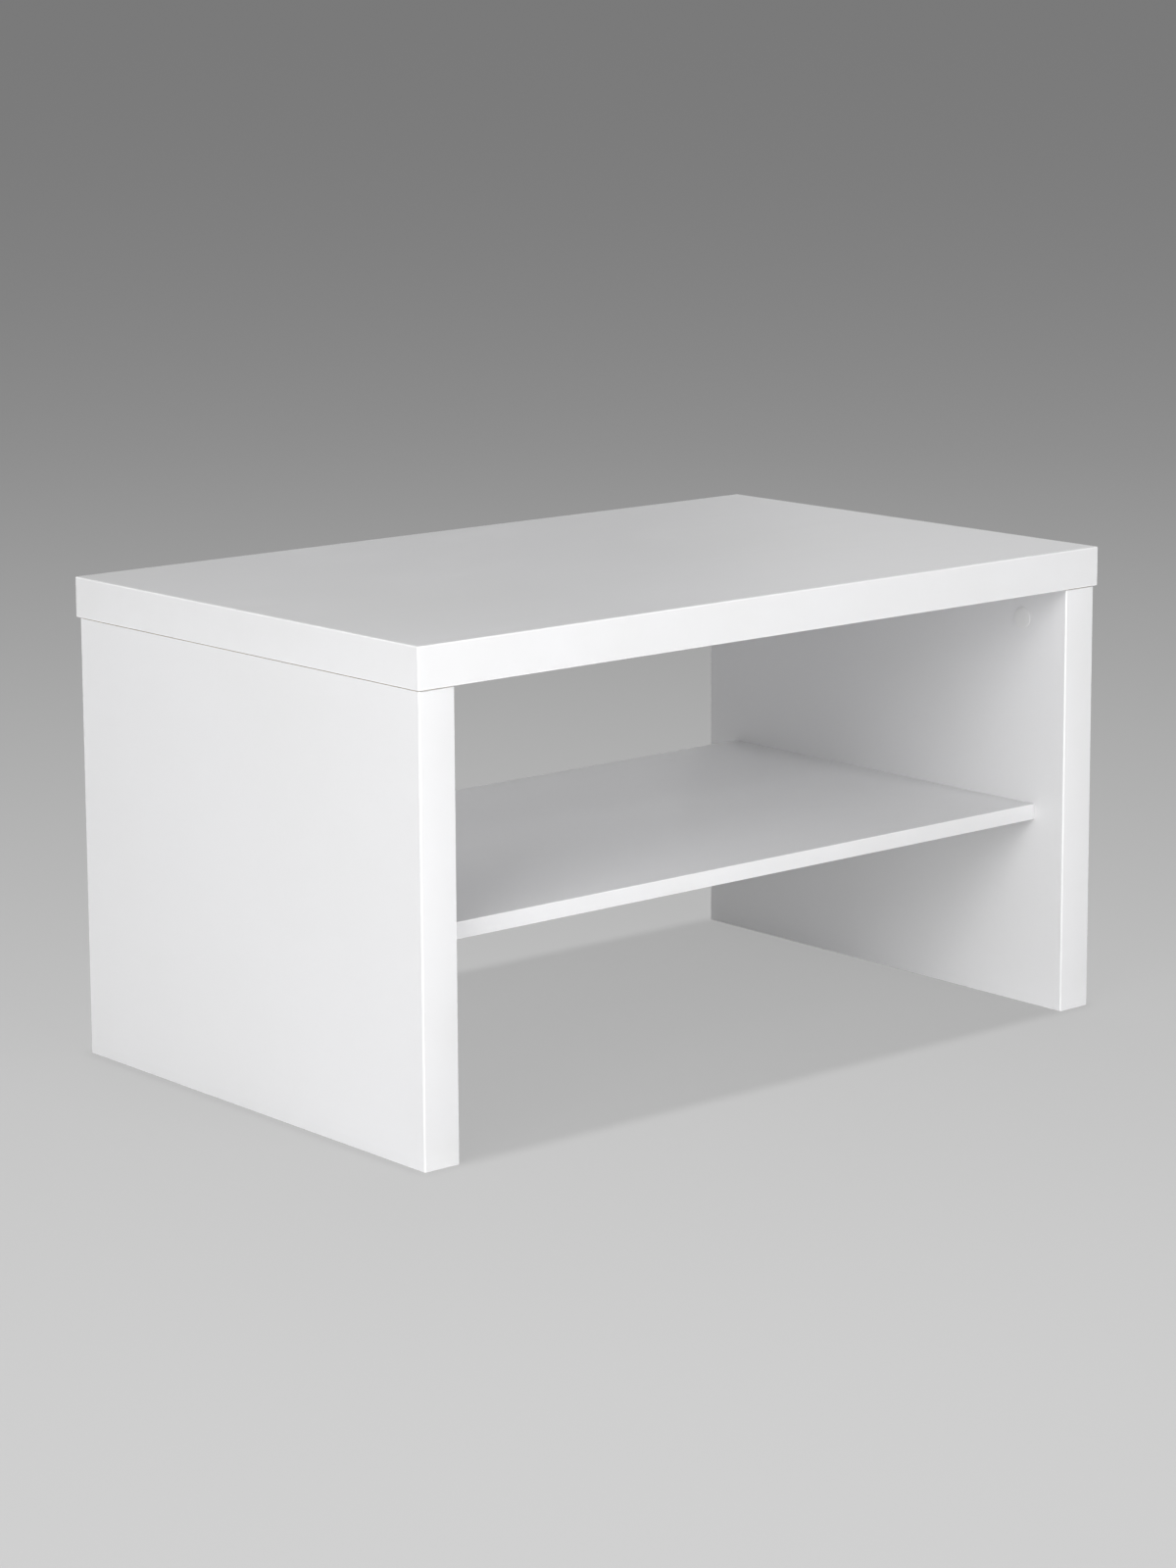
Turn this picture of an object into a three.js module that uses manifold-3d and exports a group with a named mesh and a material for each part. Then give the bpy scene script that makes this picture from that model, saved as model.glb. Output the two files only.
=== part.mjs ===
// White coffee table of thick boards: a slab top on two full-depth side panels, with one thin shelf
// between them. It is knock-down furniture, so each joint between two boards is drawn together by
// cam locks and cam bolts, and located by wooden dowels.
//
// Millimetres. +X runs along the table, the front faces -Y and +Z is up. The origin is on the floor,
// under the middle of the table.

import * as THREE from 'three';
import { mergeVertices } from 'three/addons/utils/BufferGeometryUtils.js';
import Module from 'manifold-3d';

// ---- Overall sizes and boards ----
const tableLength = 880;
const tableDepth = 540;
const tableHeight = 480;
const topThickness = 40;
const topOverhang = 3; // past the side panels, on all four sides
const panelThickness = 40;
const shelfThickness = 16;
const shelfTopHeight = 212;
const shelfSetback = 40; // behind the side panels' front and back edges

// ---- Edge bands ----
const thickBand = 2; // round the top, and on the side panels' front and back edges
const thinBand = 1; // on the shelf's long edges, and under the side panels
const bandRounding = 0.75; // rounding of a band's outer corners, as a share of its thickness

// ---- Where the fittings sit ----
const boltToBoardEnd = 60; // from a carrying board's front or back edge to its nearest cam bolt
const dowelSpacing = 32; // from a cam bolt to the dowel beside it

// ---- Cam bolt ----
const boltReach = 36; // from the joint to the centre of the bolt's head
const boltHeadRadius = 3.5;
const boltNeckRadius = 2.1;
const boltShaftRadius = 2.75;
const boltCollarHeight = 1.6;
const boltThreadRadius = 3;
const boltThreadDepth = 11;
const boltThreadRidges = 4;
const boltThreadBite = 0.6; // depth of the thread below its crest
const boltNeckLead = 1.5; // how far the thin neck runs on outside the cam

// ---- Cam lock ----
const camRadius = 7.3;
const camFoot = 0.5; // of the cam, below the hollow for the bolt's head
const camBoltDepth = 8; // from the cam's face to the axis of the bolt that it grips
const camTurn = 200; // degrees from open to locked
const camPull = 1.2; // how far the spiral inside draws the bolt's head
const crossWidth = 1.5;
const crossLength = 7;
const crossDepth = 2.6;
const arrowLength = 2.2; // of the mark beside the cross, which points at the cam's mouth
const arrowDepth = 0.5;
const arrowEdge = 0.8; // from the arrow's tip to the cam's rim

// ---- Cover cap ----
const capRadius = 11;
const capRim = 0.6; // height of the cap's edge
const capCrown = 1.5; // height of the cap's middle

// ---- Dowel ----
const dowelRadius = 4;
const dowelLength = 35;
const dowelFaceDepth = 12; // how much of it is in the face of a board
const dowelChamfer = 1;
const dowelFlutes = 12; // grooves along it, which let the glue and air out
const dowelFluteDepth = 0.4;

// ---- Clearances ----
const camBoreGap = 0.2; // round a cam
const camFloorGap = 0.4; // under a cam
const boltGap = 0.3; // round a bolt's thread, neck and head
const boltBoreGap = 0.5; // round a bolt's head as it goes into the edge of a board
const boltCollarGap = 0.3; // round its collar, which centres it there
const dowelGap = 0.3; // round a dowel
const dowelEndGap = 0.5; // at each end of a dowel
const capGap = 0.1; // under a cap
const crossGap = 0.3; // round a cap's cross stem

// ---- Fineness of round shapes ----
const bandCornerSteps = 3;
const camSides = 32;
const capSides = 24;
const dowelSides = 16;
const boltSides = 12;
const holeSides = 16;
const cutRunOut = 1; // how far a cutter reaches past the face that it cuts

// ---- Sizes that follow ----
const topUnderside = tableHeight - topThickness;
const panelOuterX = tableLength / 2 - topOverhang;
const panelInnerX = panelOuterX - panelThickness;
const panelEdgeY = tableDepth / 2 - topOverhang;
const shelfEdgeY = panelEdgeY - shelfSetback;
const shelfUnderside = shelfTopHeight - shelfThickness;
const boltBoreRadius = boltHeadRadius + boltBoreGap;
const boltCollarRadius = boltBoreRadius - boltCollarGap;
const camLength = camBoltDepth + boltHeadRadius + boltGap + camFoot;
const camBoreRadius = camRadius + camBoreGap;
const camBoreDepth = camLength + camFloorGap;
const camCutReach = camRadius * 1.5; // from a cam's axis to well outside its wall

const finishes = {
  board: { color: 0xe9e9e7, roughness: 0.42, metalness: 0 },
  band: { color: 0xeeeeec, roughness: 0.36, metalness: 0 },
  cap: { color: 0xe6e6e3, roughness: 0.4, metalness: 0 },
  zinc: { color: 0xa6a9ad, roughness: 0.45, metalness: 0.9 },
  steel: { color: 0xb9b6a8, roughness: 0.35, metalness: 0.95 },
  beech: { color: 0xcaa679, roughness: 0.7, metalness: 0 },
};

const up = new THREE.Vector3(0, 0, 1);
const wasm = await Module();
wasm.setup();

// ---- Solids ----

function toSolid(geometry) {
  const bare = geometry.clone();
  bare.deleteAttribute('normal');
  bare.deleteAttribute('uv');
  const merged = mergeVertices(bare, 1e-4);
  const vertProperties = new Float32Array(merged.attributes.position.array);
  const triVerts = new Uint32Array(merged.index.array);
  return new wasm.Manifold(new wasm.Mesh({ numProp: 3, vertProperties, triVerts }));
}

function toGeometry(solid) {
  const mesh = solid.getMesh();
  const geometry = new THREE.BufferGeometry();
  geometry.setAttribute('position', new THREE.BufferAttribute(mesh.vertProperties, 3));
  geometry.setIndex(new THREE.BufferAttribute(mesh.triVerts, 1));
  geometry.computeVertexNormals();
  return geometry;
}

// A box whose faces lie exactly at the two given corners, so that boards meet face to face.
function boxSolid(low, high) {
  const box = new THREE.BoxGeometry();
  const corners = box.attributes.position;
  for (let index = 0; index < corners.count; index += 1) {
    const x = corners.getX(index) < 0 ? low.x : high.x;
    const y = corners.getY(index) < 0 ? low.y : high.y;
    const z = corners.getZ(index) < 0 ? low.z : high.z;
    corners.setXYZ(index, x, y, z);
  }
  return toSolid(box);
}

// A cylinder that cuts a round hole: it starts just outside the mouth and ends flat at the depth.
function boreSolid(mouth, direction, radius, depth, sides = holeSides) {
  const cylinder = new THREE.CylinderGeometry(radius, radius, depth + cutRunOut, sides);
  cylinder.translate(0, (depth - cutRunOut) / 2, 0);
  const turn = new THREE.Quaternion().setFromUnitVectors(new THREE.Vector3(0, 1, 0), direction);
  cylinder.applyQuaternion(turn);
  cylinder.translate(mouth.x, mouth.y, mouth.z);
  return toSolid(cylinder);
}

function cutFrom(solid, cutters) {
  let result = solid;
  for (const cutter of cutters) {
    result = result.subtract(cutter);
  }
  return result;
}

// ---- Placing pieces ----

function addPiece(parent, name, geometry, finish) {
  const mesh = new THREE.Mesh(geometry, new THREE.MeshStandardMaterial(finishes[finish]));
  mesh.name = name;
  parent.add(mesh);
  return mesh;
}

// Turns a piece so that its own +X and +Z point along the two given directions, and moves it to a point.
function stand(mesh, point, xDirection, zDirection) {
  const yDirection = new THREE.Vector3().crossVectors(zDirection, xDirection);
  const basis = new THREE.Matrix4().makeBasis(xDirection, yDirection, zDirection);
  mesh.quaternion.setFromRotationMatrix(basis);
  mesh.position.copy(point);
}

// ---- Joints between boards ----
// Every joint has a fitting near each end of the carried edge. A fitting starts at its mouth, on the
// face that the bolt is screwed into, and runs into the edge of the other board. camFacing points out
// of that other board's face, where the cam goes in.

function jointFittings(prefix, edgeY, describe) {
  const fittings = [];
  for (const side of [-1, 1]) {
    for (const end of [-1, 1]) {
      const place = `${side < 0 ? 'left' : 'right'}_${end < 0 ? 'front' : 'back'}`;
      const { x, z, into, camFacing } = describe(side);
      const boltY = end * (edgeY - boltToBoardEnd);
      const dowelY = boltY - end * dowelSpacing;
      const mouth = new THREE.Vector3(x, boltY, z);
      const headCentre = mouth.clone().addScaledVector(into, boltReach);
      const camPoint = headCentre.addScaledVector(camFacing, camBoltDepth);
      const dowelMouth = new THREE.Vector3(x, dowelY, z);
      const name = `${prefix}_${place}`;
      fittings.push({ name, place, side, mouth, into, camFacing, camPoint, dowelMouth });
    }
  }
  return fittings;
}

const topFittings = jointFittings('top', panelEdgeY, (side) => ({
  x: side * (panelInnerX + camBoltDepth),
  z: topUnderside,
  into: new THREE.Vector3(0, 0, -1),
  camFacing: new THREE.Vector3(-side, 0, 0),
}));

const shelfFittings = jointFittings('shelf', shelfEdgeY, (side) => ({
  x: side * panelInnerX,
  z: shelfUnderside + camBoltDepth,
  into: new THREE.Vector3(-side, 0, 0),
  camFacing: new THREE.Vector3(0, 0, -1),
}));

// Holes in the board whose face the bolts are screwed into.
function faceHoles(fittings) {
  return fittings.flatMap(({ mouth, into, dowelMouth }) => {
    const outOfFace = into.clone().negate();
    return [
      boreSolid(mouth, outOfFace, boltThreadRadius + boltGap, boltThreadDepth + boltGap),
      boreSolid(dowelMouth, outOfFace, dowelRadius + dowelGap, dowelFaceDepth + dowelEndGap),
    ];
  });
}

// Holes in the board whose edge the bolts run into.
function edgeHoles(fittings) {
  return fittings.flatMap(({ mouth, into, camFacing, camPoint, dowelMouth }) => [
    boreSolid(mouth, into, boltBoreRadius, boltReach),
    boreSolid(camPoint, camFacing.clone().negate(), camBoreRadius, camBoreDepth, camSides),
    boreSolid(dowelMouth, into, dowelRadius + dowelGap, dowelLength - dowelFaceDepth + dowelEndGap),
  ]);
}

// ---- Edge bands ----

// A flat strip along Z. Its back is at X = 0 and its outer face, with two rounded corners, is at +X.
function bandGeometry(thickness, width, length) {
  const rounding = thickness * bandRounding;
  const half = width / 2;
  const outline = new THREE.Shape();
  outline.moveTo(0, -half);
  outline.lineTo(thickness - rounding, -half);
  outline.absarc(thickness - rounding, -half + rounding, rounding, -Math.PI / 2, 0);
  outline.lineTo(thickness, half - rounding);
  outline.absarc(thickness - rounding, half - rounding, rounding, 0, Math.PI / 2);
  outline.lineTo(0, half);
  outline.closePath();
  const options = { depth: length, bevelEnabled: false, curveSegments: bandCornerSteps };
  const strip = new THREE.ExtrudeGeometry(outline, options);
  strip.translate(0, 0, -length / 2);
  return toGeometry(toSolid(strip));
}

function addBand(parent, name, thickness, width, length, point, outward, along) {
  const band = addPiece(parent, name, bandGeometry(thickness, width, length), 'band');
  stand(band, point, outward, along);
}

// ---- Table top ----

function buildTop() {
  const group = new THREE.Group();
  const boardX = tableLength / 2 - thickBand;
  const boardY = tableDepth / 2 - thickBand;
  const middleZ = topUnderside + topThickness / 2;
  const low = new THREE.Vector3(-boardX, -boardY, topUnderside);
  const high = new THREE.Vector3(boardX, boardY, tableHeight);
  const board = cutFrom(boxSolid(low, high), faceHoles(topFittings));
  addPiece(group, 'top_board', toGeometry(board), 'board');
  for (const [name, end] of [['front', -1], ['back', 1]]) {
    const point = new THREE.Vector3(0, end * boardY, middleZ);
    const outward = new THREE.Vector3(0, end, 0);
    const along = new THREE.Vector3(1, 0, 0);
    addBand(group, `top_band_${name}`, thickBand, topThickness, tableLength, point, outward, along);
  }
  for (const [name, side] of [['left', -1], ['right', 1]]) {
    const point = new THREE.Vector3(side * boardX, 0, middleZ);
    const outward = new THREE.Vector3(side, 0, 0);
    const along = new THREE.Vector3(0, 1, 0);
    addBand(group, `top_band_${name}`, thickBand, topThickness, boardY * 2, point, outward, along);
  }
  return group;
}

// ---- Side panels ----

function buildPanel(name, side) {
  const group = new THREE.Group();
  const boardY = panelEdgeY - thickBand;
  const middleX = side * (panelInnerX + panelThickness / 2);
  const nearX = Math.min(side * panelInnerX, side * panelOuterX);
  const low = new THREE.Vector3(nearX, -boardY, thinBand);
  const high = new THREE.Vector3(nearX + panelThickness, boardY, topUnderside);
  const holes = [
    ...edgeHoles(topFittings.filter((fitting) => fitting.side === side)),
    ...faceHoles(shelfFittings.filter((fitting) => fitting.side === side)),
  ];
  addPiece(group, `${name}_panel_board`, toGeometry(cutFrom(boxSolid(low, high), holes)), 'board');
  for (const [endName, end] of [['front', -1], ['back', 1]]) {
    const point = new THREE.Vector3(middleX, end * boardY, topUnderside / 2);
    const outward = new THREE.Vector3(0, end, 0);
    const bandName = `${name}_panel_band_${endName}`;
    addBand(group, bandName, thickBand, panelThickness, topUnderside, point, outward, up);
  }
  const footPoint = new THREE.Vector3(middleX, 0, thinBand);
  const down = new THREE.Vector3(0, 0, -1);
  const along = new THREE.Vector3(0, 1, 0);
  addBand(group, `${name}_panel_band_foot`, thinBand, panelThickness, boardY * 2, footPoint, down, along);
  return group;
}

// ---- Shelf ----

function buildShelf() {
  const group = new THREE.Group();
  const boardY = shelfEdgeY - thinBand;
  const low = new THREE.Vector3(-panelInnerX, -boardY, shelfUnderside);
  const high = new THREE.Vector3(panelInnerX, boardY, shelfTopHeight);
  const board = cutFrom(boxSolid(low, high), edgeHoles(shelfFittings));
  addPiece(group, 'shelf_board', toGeometry(board), 'board');
  for (const [name, end] of [['front', -1], ['back', 1]]) {
    const point = new THREE.Vector3(0, end * boardY, shelfUnderside + shelfThickness / 2);
    const outward = new THREE.Vector3(0, end, 0);
    const along = new THREE.Vector3(1, 0, 0);
    addBand(group, `shelf_band_${name}`, thinBand, shelfThickness, panelInnerX * 2, point, outward, along);
  }
  return group;
}

// ---- Cam locks ----
// In its own frame a cam's face is at Z = 0 and its body goes down, and the bolt comes in along +X.
// Locked, its open mouth has been turned camTurn degrees clockwise away from the bolt.

function radians(degrees) {
  return THREE.MathUtils.degToRad(degrees);
}

function extrudeDown(outline, topZ, depth) {
  const solid = new THREE.ExtrudeGeometry(outline, { depth, bevelEnabled: false, curveSegments: 12 });
  solid.translate(0, 0, topZ - depth);
  return toSolid(solid);
}

// The hollow for the bolt's head. Its wall closes in from the mouth to the locked end by camPull.
function camHollowOutline() {
  const lockedRadius = boltHeadRadius + boltGap;
  const steps = 24;
  const points = [];
  for (let step = 0; step < steps; step += 1) {
    const angle = (step / steps) * 360 - camTurn;
    const opened = THREE.MathUtils.clamp(-angle / camTurn, 0, 1);
    const radius = lockedRadius + camPull * opened;
    points.push(new THREE.Vector2(radius * Math.cos(radians(angle)), radius * Math.sin(radians(angle))));
  }
  return new THREE.Shape(points);
}

// The slot that the bolt's neck travels along: a sector from the mouth round to the locked end.
function camSlotOutline() {
  const outline = new THREE.Shape();
  outline.moveTo(0, 0);
  outline.absarc(0, 0, camCutReach, radians(-camTurn), 0, false);
  outline.closePath();
  return outline;
}

// A straight channel from the cam's axis out through its wall.
function camChannel(angle, halfWidth, topZ, bottomZ) {
  const channel = new THREE.BoxGeometry(camCutReach, halfWidth * 2, topZ - bottomZ);
  channel.translate(camCutReach / 2, 0, (topZ + bottomZ) / 2);
  channel.rotateZ(radians(angle));
  return toSolid(channel);
}

// One bar of the screwdriver cross, or of the stem that fits it.
function crossArm(angle, length, width, bottomZ, topZ) {
  const arm = new THREE.BoxGeometry(length, width, topZ - bottomZ);
  arm.translate(0, 0, (topZ + bottomZ) / 2);
  arm.rotateZ(angle);
  return toSolid(arm);
}

// A small triangle sunk in the cam's face, between the cross and the rim.
function arrowMark() {
  const tip = camRadius - arrowEdge;
  const tail = tip - arrowLength;
  const outline = new THREE.Shape([
    new THREE.Vector2(tip, 0),
    new THREE.Vector2(tail, arrowLength / 2),
    new THREE.Vector2(tail, -arrowLength / 2),
  ]);
  const mark = new THREE.ExtrudeGeometry(outline, { depth: arrowDepth + cutRunOut, bevelEnabled: false });
  mark.translate(0, 0, -arrowDepth);
  mark.rotateZ(radians(-camTurn));
  return toSolid(mark);
}

function buildCamGeometry() {
  const body = new THREE.CylinderGeometry(camRadius, camRadius, camLength, camSides);
  body.rotateX(Math.PI / 2);
  body.translate(0, 0, -camLength / 2);
  const headRoom = boltHeadRadius + boltGap;
  const neckRoom = boltNeckRadius + boltGap;
  const headTopZ = headRoom - camBoltDepth;
  const belowZ = -camLength - cutRunOut;
  const hollow = extrudeDown(camHollowOutline(), headTopZ, headTopZ - belowZ);
  const slot = extrudeDown(camSlotOutline(), neckRoom - camBoltDepth, neckRoom * 2);
  const lockedEnd = camChannel(0, neckRoom, neckRoom - camBoltDepth, -neckRoom - camBoltDepth);
  const mouth = camChannel(-camTurn, headRoom, headTopZ, belowZ);
  const arms = [];
  for (const angle of [0, Math.PI / 2]) {
    arms.push(crossArm(angle, crossLength, crossWidth, -crossDepth, cutRunOut));
  }
  return toGeometry(cutFrom(toSolid(body), [hollow, slot, lockedEnd, mouth, arrowMark(), ...arms]));
}

// ---- Cover caps ----
// A shallow dome on the board's face, with a cross stem that presses into the cam's screwdriver cross.

function buildCapGeometry() {
  const domeSteps = 3;
  const profile = [new THREE.Vector2(0, 0), new THREE.Vector2(capRadius, 0)];
  for (let step = 0; step < domeSteps; step += 1) {
    const share = step / domeSteps;
    const height = capRim + (capCrown - capRim) * Math.sin((share * Math.PI) / 2);
    profile.push(new THREE.Vector2(capRadius * Math.cos((share * Math.PI) / 2), height));
  }
  profile.push(new THREE.Vector2(0, capCrown));
  const dome = new THREE.LatheGeometry(profile, capSides);
  dome.rotateX(Math.PI / 2);
  dome.translate(0, 0, capGap);
  const stemLength = crossLength - crossGap * 2;
  const stemWidth = crossWidth - crossGap * 2;
  const stemBottom = crossGap - crossDepth;
  const inDome = capGap + capRim / 2;
  let cap = toSolid(dome);
  for (const angle of [0, Math.PI / 2]) {
    cap = cap.add(crossArm(angle, stemLength, stemWidth, stemBottom, inDome));
  }
  return toGeometry(cap);
}

// ---- Cam bolts ----
// In its own frame the joint is at Z = 0: the thread goes down into the face of one board, and the
// shaft goes up into the edge of the other, to the ball that the cam grips.

function buildBoltGeometry() {
  const tipRadius = boltThreadRadius / 2;
  const rootRadius = boltThreadRadius - boltThreadBite;
  const pitch = boltThreadDepth / (boltThreadRidges + 1);
  const neckStart = boltReach - camRadius - boltNeckLead;
  const ballStart = Math.asin(boltNeckRadius / boltHeadRadius);
  const ballSteps = 4;
  const profile = [new THREE.Vector2(0, -boltThreadDepth), new THREE.Vector2(tipRadius, -boltThreadDepth)];
  for (let ridge = 0; ridge < boltThreadRidges; ridge += 1) {
    const z = -boltThreadDepth + pitch * (ridge + 0.5);
    profile.push(new THREE.Vector2(rootRadius, z));
    profile.push(new THREE.Vector2(boltThreadRadius, z + pitch / 2));
  }
  profile.push(new THREE.Vector2(rootRadius, -pitch / 2));
  profile.push(new THREE.Vector2(rootRadius, 0));
  profile.push(new THREE.Vector2(boltCollarRadius, 0));
  profile.push(new THREE.Vector2(boltCollarRadius, boltCollarHeight));
  profile.push(new THREE.Vector2(boltShaftRadius, boltCollarHeight));
  profile.push(new THREE.Vector2(boltShaftRadius, neckStart - boltShaftRadius + boltNeckRadius));
  profile.push(new THREE.Vector2(boltNeckRadius, neckStart));
  for (let step = 0; step < ballSteps; step += 1) {
    const angle = Math.PI - ballStart - ((Math.PI - ballStart) * step) / ballSteps;
    const x = boltHeadRadius * Math.sin(angle);
    profile.push(new THREE.Vector2(x, boltReach + boltHeadRadius * Math.cos(angle)));
  }
  profile.push(new THREE.Vector2(0, boltReach + boltHeadRadius));
  const bolt = new THREE.LatheGeometry(profile, boltSides);
  bolt.rotateX(Math.PI / 2);
  return toGeometry(toSolid(bolt));
}

// ---- Dowels ----
// In its own frame the joint is at Z = 0, and the longer part goes up into the edge of a board.

// A circle with a shallow groove for each flute.
function flutedOutline() {
  const points = [];
  const cornersPerFlute = 4;
  for (let corner = 0; corner < dowelFlutes * cornersPerFlute; corner += 1) {
    const inGroove = corner % cornersPerFlute === cornersPerFlute - 1;
    const radius = inGroove ? dowelRadius - dowelFluteDepth : dowelRadius;
    const angle = (corner / (dowelFlutes * cornersPerFlute)) * Math.PI * 2;
    points.push(new THREE.Vector2(radius * Math.cos(angle), radius * Math.sin(angle)));
  }
  return new THREE.Shape(points);
}

function buildDowelGeometry() {
  const bottom = -dowelFaceDepth;
  const top = dowelLength - dowelFaceDepth;
  const tipRadius = dowelRadius - dowelChamfer;
  const chamferRun = dowelChamfer + cutRunOut;
  const chamferRadius = tipRadius + chamferRun;
  const profile = [
    new THREE.Vector2(0, bottom),
    new THREE.Vector2(tipRadius, bottom),
    new THREE.Vector2(chamferRadius, bottom + chamferRun),
    new THREE.Vector2(chamferRadius, top - chamferRun),
    new THREE.Vector2(tipRadius, top),
    new THREE.Vector2(0, top),
  ];
  const envelope = new THREE.LatheGeometry(profile, dowelSides);
  envelope.rotateX(Math.PI / 2);
  const rod = new THREE.ExtrudeGeometry(flutedOutline(), { depth: dowelLength, bevelEnabled: false });
  rod.translate(0, 0, bottom);
  return toGeometry(toSolid(rod).intersect(toSolid(envelope)));
}

// ---- Fittings in their places ----

function buildFittings(fittings, capped) {
  const group = new THREE.Group();
  const camGeometry = buildCamGeometry();
  const capGeometry = buildCapGeometry();
  const boltGeometry = buildBoltGeometry();
  const dowelGeometry = buildDowelGeometry();
  for (const { name, place, mouth, into, camFacing, camPoint, dowelMouth } of fittings) {
    const towardsJoint = into.clone().negate();
    stand(addPiece(group, `bolt_${name}`, boltGeometry, 'steel'), mouth, camFacing, into);
    stand(addPiece(group, `cam_${name}`, camGeometry, 'zinc'), camPoint, towardsJoint, camFacing);
    stand(addPiece(group, `dowel_${name}`, dowelGeometry, 'beech'), dowelMouth, camFacing, into);
    if (capped) {
      stand(addPiece(group, `cap_${place}`, capGeometry, 'cap'), camPoint, towardsJoint, camFacing);
    }
  }
  return group;
}

const table = new THREE.Group();
table.add(buildTop());
table.add(buildPanel('left', -1));
table.add(buildPanel('right', 1));
table.add(buildShelf());
table.add(buildFittings(topFittings, true));
table.add(buildFittings(shelfFittings, false));

export default table;
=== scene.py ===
"""A white coffee table of thick melamine boards, dressed in a plain studio.

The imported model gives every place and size. Each piece of it is remade here with eased arrises, seams,
threads and flutes, takes a procedural finish, and stands for its CAD node.
"""

import logging
import math
from collections.abc import Callable, Iterable
from dataclasses import dataclass
from enum import Enum

import bmesh
import bpy
from mathutils import Matrix, Vector


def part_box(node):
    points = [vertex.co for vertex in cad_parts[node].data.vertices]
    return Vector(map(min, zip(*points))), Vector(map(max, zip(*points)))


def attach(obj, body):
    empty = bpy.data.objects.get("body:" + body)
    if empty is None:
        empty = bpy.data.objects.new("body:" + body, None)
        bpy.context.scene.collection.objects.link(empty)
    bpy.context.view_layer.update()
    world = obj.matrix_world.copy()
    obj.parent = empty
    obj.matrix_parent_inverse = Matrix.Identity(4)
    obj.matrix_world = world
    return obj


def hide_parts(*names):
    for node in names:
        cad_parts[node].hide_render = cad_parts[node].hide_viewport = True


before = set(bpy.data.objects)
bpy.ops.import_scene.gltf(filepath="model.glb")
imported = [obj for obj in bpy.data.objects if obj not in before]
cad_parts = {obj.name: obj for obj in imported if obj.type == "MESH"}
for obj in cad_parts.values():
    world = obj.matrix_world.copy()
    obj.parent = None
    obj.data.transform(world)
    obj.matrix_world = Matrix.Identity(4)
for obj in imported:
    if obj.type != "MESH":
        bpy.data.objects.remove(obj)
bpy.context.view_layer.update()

LOG = logging.getLogger("table")
ROOT_BODY = "table"
MM = 0.001
ARRIS = "arris"
TINY = 0.01 * MM
Colour = tuple[float, float, float, float]
Finish = bpy.types.Material
Piece = bpy.types.Object
Mesh = bpy.types.Mesh
Shape = bmesh.types.BMesh
Tree = bpy.types.NodeTree
Node = bpy.types.Node
Output = bpy.types.NodeSocket
Outputs = bpy.types.NodeOutputs


# --------------------------------------------------------------------------- Names of places on the table


class Side(Enum):
    """The two ends of the table's length."""

    LEFT = "left"
    RIGHT = "right"

    @property
    def sign(self) -> int:
        """Which way this side lies along X."""
        return -1 if self is Side.LEFT else 1


class End(Enum):
    """The front and the back of the table's depth."""

    FRONT = "front"
    BACK = "back"

    @property
    def sign(self) -> int:
        """Which way this end lies along Y."""
        return -1 if self is End.FRONT else 1


class JointLine(Enum):
    """The two kinds of joint between boards."""

    TOP = "top"
    SHELF = "shelf"


class Slot(Enum):
    """The record's material slots."""

    BOARD = "melamine_board"
    BAND = "edge_band"
    CAP = "cover_cap"
    ZINC = "cam_zinc"
    STEEL = "bolt_steel"
    BEECH = "beech_dowel"


X_AXIS = Vector((1, 0, 0))
Y_AXIS = Vector((0, 1, 0))
Z_AXIS = Vector((0, 0, 1))


# --------------------------------------------------------------------------- Node wiring


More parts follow.
